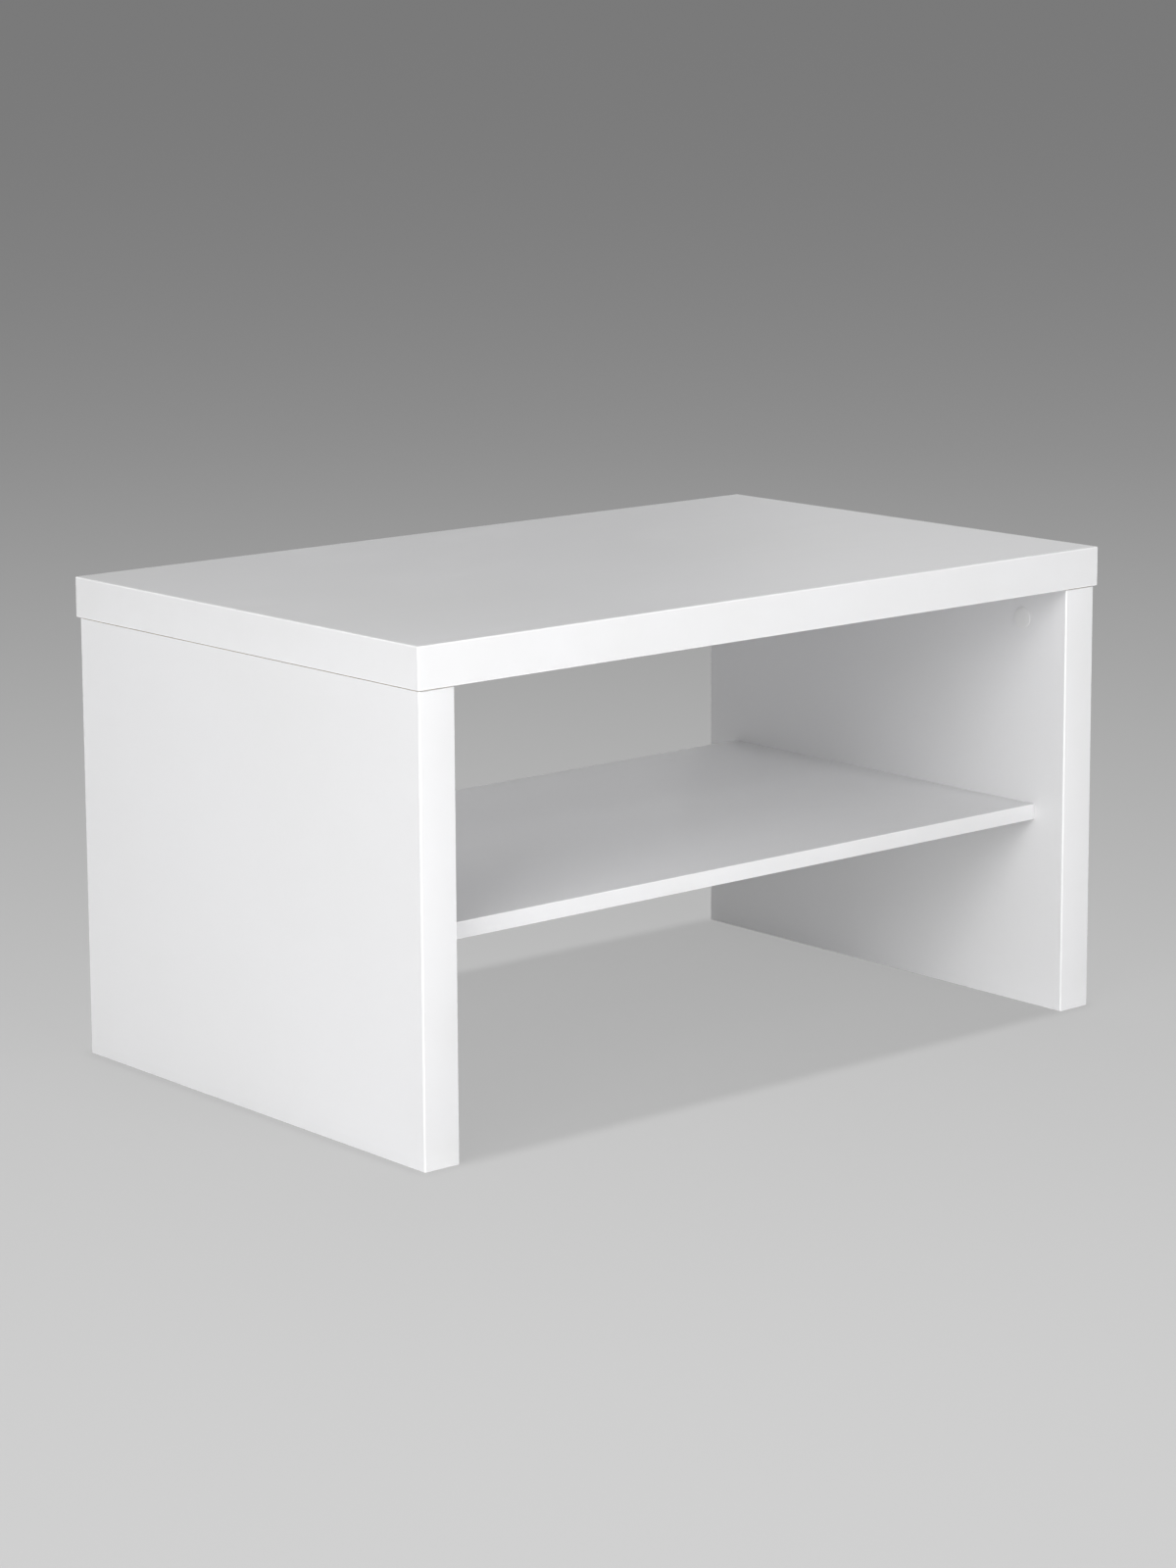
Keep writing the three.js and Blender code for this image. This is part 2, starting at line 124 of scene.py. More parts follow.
class Wiring:
    """Adds nodes to a tree and links them, so that a recipe reads from top to bottom."""

    def __init__(self, tree: Tree) -> None:
        """Starts on a tree.

        Args:
            tree: the shader or geometry node tree to add to.
        """
        self.tree = tree
        self.count = 0

    def add(self, kind: str, inputs: dict | None = None, **settings: object) -> Node:
        """Adds one node.

        Args:
            kind: the node's Blender type name.
            inputs: socket name or number to a value, or to the output socket that feeds it.
            **settings: the node's own properties, such as operation.

        Returns:
            The new node.
        """
        node = self.tree.nodes.new(kind)
        node.location = (180 * self.count, 0)
        self.count += 1
        for key, value in settings.items():
            setattr(node, key, value)
        for key, value in (inputs or {}).items():
            self.feed(node.inputs[key], value)
        return node

    def feed(self, socket: Output, value: object) -> None:
        """Gives a socket a value, or links an output to it.

        Args:
            socket: the input socket.
            value: a plain value, or the output socket that feeds it.
        """
        if isinstance(value, Output):
            self.tree.links.new(value, socket)
        else:
            socket.default_value = value

    def math(self, operation: str, *values: object, clamp: bool = False) -> Output:
        """Adds a Math node.

        Args:
            operation: the operation's Blender name.
            *values: one value or output socket for each input.
            clamp: whether the result is held between 0 and 1.

        Returns:
            The node's output.
        """
        inputs = dict(enumerate(values))
        return self.add("ShaderNodeMath", inputs, operation=operation, use_clamp=clamp).outputs[0]

    def vectors(self, operation: str, inputs: dict) -> Node:
        """Adds a Vector Math node.

        Args:
            operation: the operation's Blender name.
            inputs: its inputs, as in add.

        Returns:
            The node.
        """
        return self.add("ShaderNodeVectorMath", inputs, operation=operation)

    def noise(self, vector: object, scale: object, detail: float, **more: float) -> Output:
        """Adds a Noise Texture.

        Args:
            vector: the coordinates' socket.
            scale: its scale, or the socket that feeds it.
            detail: how many octaves it has.
            **more: its other inputs.

        Returns:
            The noise's socket, from 0 to 1.
        """
        inputs = {"Vector": vector, "Scale": scale, "Detail": detail, **more}
        return self.add("ShaderNodeTexNoise", inputs).outputs["Fac"]

    def remap(self, value: object, low: float, high: float, to_low: object = 0.0) -> Output:
        """Maps a range of values smoothly to one that ends at 1.

        Args:
            value: the socket that is mapped.
            low: where the range starts.
            high: where the range ends.
            to_low: the result at its start, or the socket that feeds it.

        Returns:
            The mapped value's socket.
        """
        inputs = {"Value": value, "From Min": low, "From Max": high, "To Min": to_low, "To Max": 1.0}
        return self.add("ShaderNodeMapRange", inputs, interpolation_type="SMOOTHSTEP").outputs["Result"]

    def mix(self, factor: object, first: object, second: object) -> Output:
        """Mixes two colours.

        Args:
            factor: how much of the second colour there is.
            first: a colour or its output socket.
            second: a colour or its output socket.

        Returns:
            The mixed colour's socket.
        """
        inputs = {"Factor": factor, 6: first, 7: second}
        return self.add("ShaderNodeMix", inputs, data_type="RGBA").outputs[2]


@dataclass(frozen=True)
class Socket:
    """One named socket of a node group."""

    name: str
    kind: str
    default: object = None


def float_socket(name: str, default: float = 0.0) -> Socket:
    """A number's socket."""
    return Socket(name, "NodeSocketFloat", default)


def vector_socket(name: str, default: tuple[float, float, float] = (0.0, 0.0, 0.0)) -> Socket:
    """A vector's socket."""
    return Socket(name, "NodeSocketVector", default)


def open_group(name: str, kind: str, takes: Iterable[Socket], gives: Iterable[Socket]) -> Tree:
    """Makes an empty node group with its named sockets.

    Args:
        name: the group's name.
        kind: ShaderNodeTree or GeometryNodeTree.
        takes: its inputs.
        gives: its outputs.

    Returns:
        The group, with no nodes in it yet.
    """
    tree = bpy.data.node_groups.new(name, kind)
    for in_out, sockets in (("INPUT", takes), ("OUTPUT", gives)):
        for socket in sockets:
            made = tree.interface.new_socket(socket.name, in_out=in_out, socket_type=socket.kind)
            if socket.default is not None:
                made.default_value = socket.default
    return tree


# --------------------------------------------------------------------------- Shared surface effects


def open_effect(
    name: str, takes: Iterable[Socket], gives: Iterable[Socket]
) -> tuple[Tree, Wiring, Outputs]:
    """Starts a shader group that takes a Vector and its own inputs.

    Args:
        name: the group's name.
        takes: its own inputs.
        gives: its outputs.

    Returns:
        The group, its wiring, and the outputs of its Group Input node.
    """
    tree = open_group(name, "ShaderNodeTree", [vector_socket("Vector"), *takes], gives)
    wire = Wiring(tree)
    return tree, wire, wire.add("NodeGroupInput").outputs


class SurfaceEffects:
    """The shader groups that more than one finish uses, each built once."""

    def __init__(self) -> None:
        """Builds every group."""
        self.drift = self.build_drift()
        self.pebble = self.build_pebble()
        self.chipboard = self.build_chipboard()
        self.handling = self.build_handling()
        self.board_skin = self.build_board_skin()
        self.scraped_arris_and_highlight = self.build_scraped_arris_and_highlight()

    @staticmethod
    def build_drift() -> Tree:
        """Builds slow, cloudy drift in tone, as no large sheet is quite even.

        Returns:
            The group, which gives Factor.
        """
        tree, wire, source = open_effect("tone_drift", [float_socket("Size", 0.3)], [float_socket("Factor")])
        scale = wire.math("DIVIDE", 1.0, source["Size"])
        noise = wire.noise(source["Vector"], scale, 3.0, Roughness=0.45)
        wire.add("NodeGroupOutput", {"Factor": wire.remap(noise, 0.3, 0.7)})
        return tree

    @staticmethod
    def build_pebble() -> Tree:
        """Builds the fine embossed skin of a press plate or a mould.

        Returns:
            The group, which gives Height.
        """
        takes = [float_socket("Cell", 0.9 * MM)]
        tree, wire, source = open_effect("pebbled_skin", takes, [float_socket("Height")])
        scale = wire.math("DIVIDE", 1.0, source["Cell"])
        cell_inputs = {"Vector": source["Vector"], "Scale": scale, "Smoothness": 1.0}
        cells = wire.add("ShaderNodeTexVoronoi", cell_inputs, feature="SMOOTH_F1")
        swell = wire.noise(source["Vector"], wire.math("MULTIPLY", scale, 0.37), 2.0)
        dimple = wire.math("SUBTRACT", 1.0, cells.outputs["Distance"])
        wire.add("NodeGroupOutput", {"Height": wire.math("MULTIPLY_ADD", swell, 0.8, dimple)})
        return tree

    @staticmethod
    def build_chipboard() -> Tree:
        """Builds the sawn core of particleboard: pale flat chips, darker between them.

        Returns:
            The group, which gives Color and Height.
        """
        gives = [Socket("Color", "NodeSocketColor"), float_socket("Height")]
        tree, wire, source = open_effect("chipboard_core", [], gives)
        flat = wire.add("ShaderNodeMapping", {"Vector": source["Vector"], "Scale": (260.0, 260.0, 900.0)})
        chips = wire.add("ShaderNodeTexVoronoi", {"Vector": flat.outputs[0], "Scale": 1.0})
        tone = wire.add("ShaderNodeSeparateColor", {"Color": chips.outputs["Color"]})
        pale = (0.62, 0.47, 0.31, 1.0)
        brown = (0.38, 0.25, 0.14, 1.0)
        height = wire.math("SUBTRACT", tone.outputs[1], chips.outputs["Distance"])
        wire.add("NodeGroupOutput", {"Color": wire.mix(tone.outputs[0], pale, brown), "Height": height})
        return tree

    @staticmethod
    def build_handling() -> Tree:
        """Builds the faint dull smudges that hands and wiping leave on a smooth surface.

        Returns:
            The group, which gives Dullness.
        """
        takes = [float_socket("Strength", 0.04)]
        tree, wire, source = open_effect("handling_smudges", takes, [float_socket("Dullness")])
        smear = wire.add("ShaderNodeMapping", {"Vector": source["Vector"], "Scale": (9.0, 22.0, 14.0)})
        noise = wire.noise(smear.outputs[0], 1.0, 5.0, Roughness=0.6, Distortion=0.8)
        spots = wire.remap(noise, 0.45, 0.75)
        wire.add("NodeGroupOutput", {"Dullness": wire.math("MULTIPLY", spots, source["Strength"])})
        return tree

    @staticmethod
    def build_board_skin() -> Tree:
        """Builds the mask of a board's two faced sides, which leaves its sawn edges and bores bare.

        Returns:
            The group, which gives Skin.
        """
        takes = [vector_socket("Across", (0.0, 0.0, 1.0)), float_socket("Middle"), float_socket("Half")]
        tree, wire, source = open_effect("board_skin", takes, [float_socket("Skin")])
        both = {0: source["Vector"], 1: source["Across"]}
        along = wire.vectors("DOT_PRODUCT", both).outputs["Value"]
        offset = wire.math("ABSOLUTE", wire.math("SUBTRACT", along, source["Middle"]))
        depth = wire.math("SUBTRACT", source["Half"], offset)
        skin_depth = 0.25 * MM
        wire.add("NodeGroupOutput", {"Skin": wire.math("LESS_THAN", depth, skin_depth)})
        return tree

    @staticmethod
    def build_scraped_arris_and_highlight() -> Tree:
        """Builds the mask of the arrises that a scraper has trimmed, uneven along their length; the bands
        also take a painted highlight through it.

        Returns:
            The group, which gives Scraped.
        """
        takes = [float_socket("Arris"), float_socket("Evenness", 0.7)]
        tree, wire, source = open_effect("scraped_arris_and_highlight", takes, [float_socket("Scraped")])
        noise = wire.noise(source["Vector"], 45.0, 3.0)
        chatter = wire.remap(noise, 0.35, 0.65, source["Evenness"])
        wire.add("NodeGroupOutput", {"Scraped": wire.math("MULTIPLY", chatter, source["Arris"])})
        return tree


# --------------------------------------------------------------------------- Finishes


def new_material(name: str) -> tuple[Finish, Wiring]:
    """Makes a material with no nodes.

    Args:
        name: the material's name.

    Returns:
        The material and its wiring.
    """
    material = bpy.data.materials.new(name)
    material.use_nodes = True
    material.node_tree.nodes.clear()
    return material, Wiring(material.node_tree)


class FinishWork:
    """A finish in the making: its material, its wiring, its shader and the object's coordinates."""

    def __init__(self, name: str, effects: SurfaceEffects) -> None:
        """Starts the material.

        Args:
            name: the material's name.
            effects: the shared shader groups.
        """
        self.material, self.wire = new_material(name)
        self.effects = effects
        self.place = self.wire.add("ShaderNodeTexCoord").outputs["Object"]
        self.shader = self.wire.add("ShaderNodeBsdfPrincipled")
        self.wire.add("ShaderNodeOutputMaterial", {"Surface": self.shader.outputs[0]})

    def effect(self, tree: Tree, **inputs: object) -> Outputs:
        """Places a shader group on the object's coordinates.

        Args:
            tree: the group.
            **inputs: its other inputs.

        Returns:
            Its outputs.
        """
        return self.wire.add("ShaderNodeGroup", {"Vector": self.place, **inputs}, node_tree=tree).outputs

    def marks(self, size: float, strength: float, cell: float) -> list[Output]:
        """Places the three effects that most finishes share.

        Args:
            size: how large the drift in tone is.
            strength: how dull the smudges are.
            cell: the size of the skin's pebbles.

        Returns:
            The drift, the smudges' dullness and the skin's height.
        """
        drift = self.effect(self.effects.drift, Size=size)
        smudge = self.effect(self.effects.handling, Strength=strength)
        pebble = self.effect(self.effects.pebble, Cell=cell)
        return [drift["Factor"], smudge["Dullness"], pebble["Height"]]

    def close(self, colour: object, roughness: object, height: object) -> Finish:
        """Feeds the shader.

        Args:
            colour: the base colour's socket.
            roughness: the roughness's socket.
            height: the relief's socket, in metres.

        Returns:
            The finished material.
        """
        bump = self.wire.add("ShaderNodeBump", {"Height": height, "Strength": 1.0, "Distance": 1.0})
        self.wire.feed(self.shader.inputs["Base Color"], colour)
        self.wire.feed(self.shader.inputs["Roughness"], roughness)
        self.wire.feed(self.shader.inputs["Normal"], bump.outputs[0])
        return self.material


@dataclass(frozen=True)
class MelamineFinish:
    """Satin white melamine on both faces of a board, with a bare particleboard core."""

    effects: SurfaceEffects
    white: Colour = (0.80, 0.80, 0.81, 1.0)
    off_white: Colour = (0.785, 0.785, 0.79, 1.0)
    roughness: float = 0.36
    drift_size: float = 0.35
    smudges: float = 0.05
    cell: float = 0.8 * MM
    pebble_depth: float = 0.012 * MM
    core_roughness: float = 0.85
    core_depth: float = 0.15 * MM

    def make(self, name: str, across: Vector, middle: float, thickness: float) -> Finish:
        """Makes the finish for one board.

        Args:
            name: the board's name.
            across: the axis across the board's thickness.
            middle: where the board's middle lies along that axis.
            thickness: the board's thickness.

        Returns:
            The material.
        """
        work = FinishWork(f"melamine_{name}", self.effects)
        wire = work.wire
        drift, smudge, pebble = work.marks(self.drift_size, self.smudges, self.cell)
        core = work.effect(self.effects.chipboard)
        half = thickness / 2
        skin = work.effect(self.effects.board_skin, Across=across, Middle=middle, Half=half)["Skin"]
        face = wire.mix(drift, self.white, self.off_white)
        face_roughness = wire.math("ADD", self.roughness, smudge)
        bare = wire.math("SUBTRACT", 1.0, skin)
        core_part = wire.math("MULTIPLY", bare, self.core_roughness)
        roughness = wire.math("MULTIPLY_ADD", skin, face_roughness, core_part)
        core_relief = wire.math("MULTIPLY", core["Height"], self.core_depth)
        core_height = wire.math("MULTIPLY", bare, core_relief)
        face_height = wire.math("MULTIPLY", pebble, self.pebble_depth)
        height = wire.math("MULTIPLY_ADD", skin, face_height, core_height)
        return work.close(wire.mix(skin, core["Color"], face), roughness, height)


@dataclass(frozen=True)
class PlasticFinish:
    """White plastic with a fine skin: the edge bands and the cover caps. Trimmed arrises turn near white,
    partly as scraped plastic and partly as a painted highlight.
    """

    effects: SurfaceEffects
    name: str
    colour: Colour
    shade: Colour
    roughness: float
    cell: float
    depth: float
    # Near-white arris colour: the pallor of scraped plastic and a painted highlight.
    scraped_and_highlight: Colour = (0.95, 0.95, 0.955, 1.0)
    scraped_gloss: float = 0.12
    index: float = 1.52
    drift_size: float = 0.08
    smudges: float = 0.04

    def make(self) -> Finish:
        """Makes the material.

        Returns:
            The material.
        """
        work = FinishWork(self.name, self.effects)
        wire = work.wire
        drift, smudge, pebble = work.marks(self.drift_size, self.smudges, self.cell)
        arris = wire.add("ShaderNodeAttribute", attribute_type="GEOMETRY", attribute_name=ARRIS)
        scraped_and_highlight = work.effect(self.effects.scraped_arris_and_highlight, Arris=arris.outputs["Fac"])["Scraped"]
        colour = wire.mix(drift, self.colour, self.shade)
        dulled = wire.math("ADD", self.roughness, smudge)
        polish = wire.math("MULTIPLY", scraped_and_highlight, -self.scraped_gloss)
        roughness = wire.math("ADD", dulled, polish)
        work.shader.inputs["IOR"].default_value = self.index
        height = wire.math("MULTIPLY", pebble, self.depth)
        # Painted highlight in part: the near-white arris colour stands partly for scraped plastic and partly
        # for the bright line of light along the bands' rounded arrises.
        return work.close(wire.mix(scraped_and_highlight, colour, self.scraped_and_highlight), roughness, height)


@dataclass(frozen=True)
class MetalFinish:
    """Cast or plated metal of the fittings, mottled and finely marked."""

    effects: SurfaceEffects
    name: str
    bright: Colour
    dull: Colour
    roughness: float
    grain: float
    depth: float
    mottle_size: float = 3.0 * MM
    mottle: float = 0.12
    smudges: float = 0.15

    def make(self) -> Finish:
        """Makes the material.

        Returns:
            The material.
        """
        work = FinishWork(self.name, self.effects)
        wire = work.wire
        drift, smudge, grain = work.marks(self.mottle_size, self.smudges, self.grain)
        work.shader.inputs["Metallic"].default_value = 1.0
        mottled = wire.math("MULTIPLY_ADD", drift, self.mottle, self.roughness)
        roughness = wire.math("ADD", mottled, smudge)
        height = wire.math("MULTIPLY", grain, self.depth)
        return work.close(wire.mix(drift, self.bright, self.dull), roughness, height)


@dataclass(frozen=True)
class BeechFinish:
    """Bare turned beech with fine grain and short flecks along the rod."""

    effects: SurfaceEffects
    pale: Colour = (0.66, 0.46, 0.28, 1.0)
    grain: Colour = (0.47, 0.29, 0.15, 1.0)
    roughness: float = 0.62
    grain_roughness: float = 0.15
    grain_depth: float = 0.04 * MM
    fleck_length: float = 3.0 * MM
    fleck_width: float = 0.35 * MM
    fleck_start: float = 0.42
    fleck_full: float = 0.66

    def make(self, name: str, along: Vector) -> Finish:
        """Makes the material for dowels that lie one way.

        Args:
            name: the material's name.
            along: the axis that the grain runs along.

        Returns:
            The material.
        """
        work = FinishWork(name, self.effects)
        wire = work.wire
        across = 1.0 / self.fleck_width
        stretch = tuple(1.0 / self.fleck_length if abs(part) > 0.5 else across for part in along)
        grain_place = wire.add("ShaderNodeMapping", {"Vector": work.place, "Scale": stretch})
        flecks = wire.noise(grain_place.outputs[0], 1.0, 4.0, Roughness=0.65)
        factor = wire.remap(flecks, self.fleck_start, self.fleck_full)
        roughness = wire.math("MULTIPLY_ADD", factor, self.grain_roughness, self.roughness)
        height = wire.math("MULTIPLY", factor, -self.grain_depth)
        return work.close(wire.mix(factor, self.pale, self.grain), roughness, height)


# --------------------------------------------------------------------------- Mesh making


def make_object(name: str, shape: Shape) -> Piece:
    """Turns a shape into an object at the origin, and links it to the scene.

    Args:
        name: the object's name.
        shape: the shape, already in place, which is freed.

    Returns:
        The object.
    """
    mesh = bpy.data.meshes.new(name)
    shape.to_mesh(mesh)
    shape.free()
    piece = bpy.data.objects.new(name, mesh)
    bpy.context.scene.collection.objects.link(piece)
    return piece


def smooth_by_angle(mesh: Mesh, degrees: float = 32.0) -> None:
    """Shades the mesh smooth, apart from its sharp edges.

    Args:
        mesh: the mesh.
        degrees: the least angle that stays sharp.
    """
    mesh.shade_smooth()
    mesh.set_sharp_from_angle(angle=math.radians(degrees))


def box_shape(low: Vector, high: Vector) -> Shape:
    """Makes a box between two corners.

    Args:
        low: its lowest corner.
        high: its highest corner.

    Returns:
        The box.
    """
    shape = bmesh.new()
    bmesh.ops.create_cube(shape, size=1.0)
    for vertex in shape.verts:
        for axis in range(3):
            vertex.co[axis] = low[axis] if vertex.co[axis] < 0 else high[axis]
    return shape


def ease_edges(
    shape: Shape,
    wanted: Callable[[Vector, Vector], bool],
    radius: float,
    steps: int,
) -> None:
    """Rounds or chamfers the edges that a test picks.

    Args:
        shape: the shape to change.
        wanted: says yes for an edge, from its two ends.
        radius: how far the easing reaches from the edge.
        steps: 1 for a chamfer, more for a rounding.
    """
    edges = [edge for edge in shape.edges if wanted(edge.verts[0].co, edge.verts[1].co)]
    bmesh.ops.bevel(
        shape,
        geom=edges,
        offset=radius,
        offset_type="OFFSET",
        segments=steps,
        profile=0.5,
        affect="EDGES",
        clamp_overlap=True,
    )


def lathe_shape(profile: list[tuple[float, float]], sides: int) -> Shape:
    """Turns a profile round Z into a closed shape.

    Args:
        profile: radius and height pairs, from one end on the axis to the other.
        sides: how many sides the turned shape has.

    Returns:
        The closed shape, with its faces pointing out.
    """
    shape = bmesh.new()
    rings = []
    for radius, height in profile:
        if radius == 0.0:
            rings.append([shape.verts.new((0.0, 0.0, height))])
            continue
        angles = [2.0 * math.pi * step / sides for step in range(sides)]
        ring = [shape.verts.new((radius * math.cos(a), radius * math.sin(a), height)) for a in angles]
        rings.append(ring)
    for lower, upper in zip(rings, rings[1:]):
        for step in range(sides):
            corners = [lower[step % len(lower)], lower[(step + 1) % len(lower)]]
            corners += [upper[(step + 1) % len(upper)], upper[step % len(upper)]]
            unique = list(dict.fromkeys(corners))
            shape.faces.new(unique)
    bmesh.ops.recalc_face_normals(shape, faces=shape.faces)
    return shape


def stand_matrix(point: Vector, x_axis: Vector, z_axis: Vector) -> Matrix:
    """Gives the place of a piece whose own X and Z point along two directions.

    Args:
        point: where its own origin goes.
        x_axis: where its own X points.
        z_axis: where its own Z points.

    Returns:
        The matrix from its own frame to the table's.
    """
    y_axis = z_axis.cross(x_axis)
    turn = Matrix((x_axis, y_axis, z_axis)).transposed().to_4x4()
    return Matrix.Translation(point) @ turn


def combine(piece: Piece, operation: str, shapes: Iterable[Shape]) -> None:
    """Cuts shapes out of a piece or joins them to it, one after another, and keeps the plain mesh.

    Args:
        piece: the piece to change.
        operation: DIFFERENCE or UNION.
        shapes: closed shapes in the table's frame. Each is freed.
    """
    for shape in shapes:
        tool = make_object(f"{piece.name}_tool", shape)
        change = piece.modifiers.new("change", "BOOLEAN")
        change.operation = operation
        change.solver = "EXACT"
        change.object = tool
        keep_result(piece)
        bpy.data.objects.remove(tool)


def keep_result(piece: Piece) -> None:
    """Replaces a piece's mesh with what its modifiers make of it, and removes them.

    Args:
        piece: the piece.
    """
    bpy.context.view_layer.update()
    graph = bpy.context.evaluated_depsgraph_get()
    result = bpy.data.meshes.new_from_object(piece.evaluated_get(graph), depsgraph=graph)
    piece.modifiers.clear()
    old = piece.data
    piece.data = result
    result.name = old.name
    bpy.data.meshes.remove(old)


def mark_arrises(mesh: Mesh) -> None:
    """Marks each face that slants between two axes with 1, and each flat one with 0.

    Args:
        mesh: the mesh, which gets the mark as an attribute of its faces.
    """
    straight = 0.999
    values = [float(max(abs(part) for part in face.normal) < straight) for face in mesh.polygons]
    mark = mesh.attributes.new(ARRIS, "FLOAT", "FACE")
    mark.data.foreach_set("value", values)


def finish_piece(piece: Piece, finish: Finish, node: str, body: str) -> None:
    """Shades a piece, gives it its finish, and makes it move with its body and stand for its CAD node.

    Args:
        piece: the piece.
        finish: its material.
        node: the CAD node that it stands for.
        body: the CAD body that it rides on.
    """
    smooth_by_angle(piece.data)
    piece.data.materials.clear()
    piece.data.materials.append(finish)
    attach(piece, body)
    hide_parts(node)
    LOG.info("%s stands for %s on %s: %d faces", piece.name, node, body, len(piece.data.polygons))


# --------------------------------------------------------------------------- Fittings


@dataclass(frozen=True)
class Fitting:
    """One cam joint: the place of its cam, bolt and dowel, and of its cap where it has one."""

    line: JointLine
    side: Side
    end: End

    @property
    def name(self) -> str:
        """The joint's name, as in the CAD nodes."""
        return f"{self.line.value}_{self.side.value}_{self.end.value}"

    @property
    def cam_node(self) -> str:
        """The cam's node, which is also the body that turns."""
        return f"cam_{self.name}"

    @property
    def cap_node(self) -> str:
        """The node of the cap over the cam."""
        return f"cap_{self.side.value}_{self.end.value}"

    @property
    def into(self) -> Vector:
        """The way from the joint into the board that holds the cam."""
        return -Z_AXIS if self.line is JointLine.TOP else -self.side.sign * X_AXIS

    @property
    def cam_facing(self) -> Vector:
        """The way that the cam's face looks."""
        return -self.side.sign * X_AXIS if self.line is JointLine.TOP else -Z_AXIS

    def at_face(self, node: str, outward: Vector) -> Vector:
        """Finds the middle of one end of a node's box.

        Args:
            node: the node.
            outward: an axis direction that points out of that end.

        Returns:
            The point.
        """
        low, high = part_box(node)
        middle = (low + high) / 2
        half = (high - low) / 2
        return middle + outward * abs(half.dot(outward))

    def cam_place(self) -> Matrix:
        """The cam's place: its face at Z = 0 looking along Z, with the bolt along X."""
        point = self.at_face(self.cam_node, self.cam_facing)
        return stand_matrix(point, -self.into, self.cam_facing)

    def entry_place(self, node: str, buried: float) -> Matrix:
        """Gives the place of a bolt or dowel, with Z = 0 at the joint and Z into the cam's board.

        Args:
            node: the bolt's or dowel's node.
            buried: how much of it lies on the far side of the joint.

        Returns:
            Its place.
        """
        start = self.at_face(node, -self.into)
        return stand_matrix(start + self.into * buried, self.cam_facing, self.into)


def all_fittings(line: JointLine) -> list[Fitting]:
    """Lists the four fittings of one kind of joint."""
    return [Fitting(line, side, end) for side in Side for end in End]


@dataclass
class GeometryRule:
    """A Geometry Nodes tree that changes a turned blank by a rule, then puts it in its place."""

    tree: Tree
    inputs: dict[str, object]

    def apply(self, name: str, blank: Shape, place: Matrix, finish: Finish) -> Piece:
        """Runs the tree on a blank and keeps the plain mesh.

        Args:
            name: the new piece's name.
            blank: the shape to work on, in its own frame.
            place: where the piece goes.
            finish: the material that the tree sets.

        Returns:
            The finished piece.
        """
        piece = make_object(name, blank)
        modifier = piece.modifiers.new("rule", "NODES")
        modifier.node_group = self.tree
        values = {**self.inputs, "Place": place.to_translation(), "Turn": place.to_euler(), "Finish": finish}
        sockets = {
            item.name: item.identifier
            for item in self.tree.interface.items_tree
            if item.item_type == "SOCKET" and item.in_out == "INPUT"
        }
        for key, value in values.items():
            modifier[sockets[key]] = value
        keep_result(piece)
        return piece


def radial_tree(name: str, own: Iterable[str], recipe: Callable) -> Tree:
    """Builds a tree that presses a pattern into a turned blank between two heights, and places it.

    Args:
        name: the tree's name.
        own: the names of its own inputs.
        recipe: gives how far a point sinks towards the axis, from the wiring, the tree's inputs, the
            point's turn round the axis from 0 to 1, and its height.

    Returns:
        The tree.
    """
    geometry = Socket("Geometry", "NodeSocketGeometry")
    numbers = [float_socket(each) for each in (*own, "Start", "End")]
    pose = [vector_socket("Place"), Socket("Turn", "NodeSocketRotation")]
    takes = [geometry, *numbers, *pose, Socket("Finish", "NodeSocketMaterial")]
    tree = open_group(name, "GeometryNodeTree", takes, [geometry])
    wire = Wiring(tree)
    source = wire.add("NodeGroupInput").outputs
    place = wire.add("GeometryNodeInputPosition").outputs[0]
    parts = wire.add("ShaderNodeSeparateXYZ", {"Vector": place}).outputs
    turn = wire.math("DIVIDE", wire.math("ARCTAN2", parts["Y"], parts["X"]), 2.0 * math.pi)
    sink = recipe(wire, source, turn, parts["Z"])
    above = wire.math("GREATER_THAN", parts["Z"], source["Start"])
    below = wire.math("LESS_THAN", parts["Z"], source["End"])
    chosen = wire.math("MULTIPLY", above, below)
    flat = wire.vectors("MULTIPLY", {0: place, 1: (1.0, 1.0, 0.0)})
    outward = wire.vectors("NORMALIZE", {0: flat.outputs[0]}).outputs[0]
    inward = wire.math("MULTIPLY", sink, -1.0)
    offset = wire.vectors("SCALE", {0: outward, "Scale": inward}).outputs[0]
    press = {"Geometry": source["Geometry"], "Selection": chosen, "Offset": offset}
    pressed = wire.add("GeometryNodeSetPosition", press).outputs[0]
    move = {"Geometry": pressed, "Translation": source["Place"], "Rotation": source["Turn"]}
    placed = wire.add("GeometryNodeTransform", move).outputs[0]
    real = wire.add("GeometryNodeRealizeInstances", {"Geometry": placed}).outputs[0]
    coat = {"Geometry": real, "Material": source["Finish"]}
    wire.add("NodeGroupOutput", {"Geometry": wire.add("GeometryNodeSetMaterial", coat).outputs[0]})
    return tree


def thread_sink(wire: Wiring, source: Outputs, turn: Output, height: Output) -> Output:
    """Gives the depth of a rolled screw thread.

    Args:
        wire: the tree's wiring.
        source: the tree's inputs.
        turn: the point's turn round the axis.
        height: the point's height.

    Returns:
        How far the point sinks.
    """
    climb = wire.math("DIVIDE", height, source["Pitch"])
    wave = wire.math("PINGPONG", wire.math("SUBTRACT", climb, turn), 0.5)
    valley_slope = 2.6
    return wire.math("MULTIPLY", wire.math("MULTIPLY", wave, valley_slope, clamp=True), source["Bite"])


def flute_sink(wire: Wiring, source: Outputs, turn: Output, _height: Output) -> Output:
    """Gives the depth of straight pressed flutes.

    Args:
        wire: the tree's wiring.
        source: the tree's inputs.
        turn: the point's turn round the axis.
        _height: the point's height, which makes no difference.

    Returns:
        How far the point sinks.
    """
    wave = wire.math("PINGPONG", wire.math("MULTIPLY", turn, source["Flutes"]), 0.5)
    return wire.math("MULTIPLY", wire.remap(wave, 0.2, 0.5), source["Depth"])


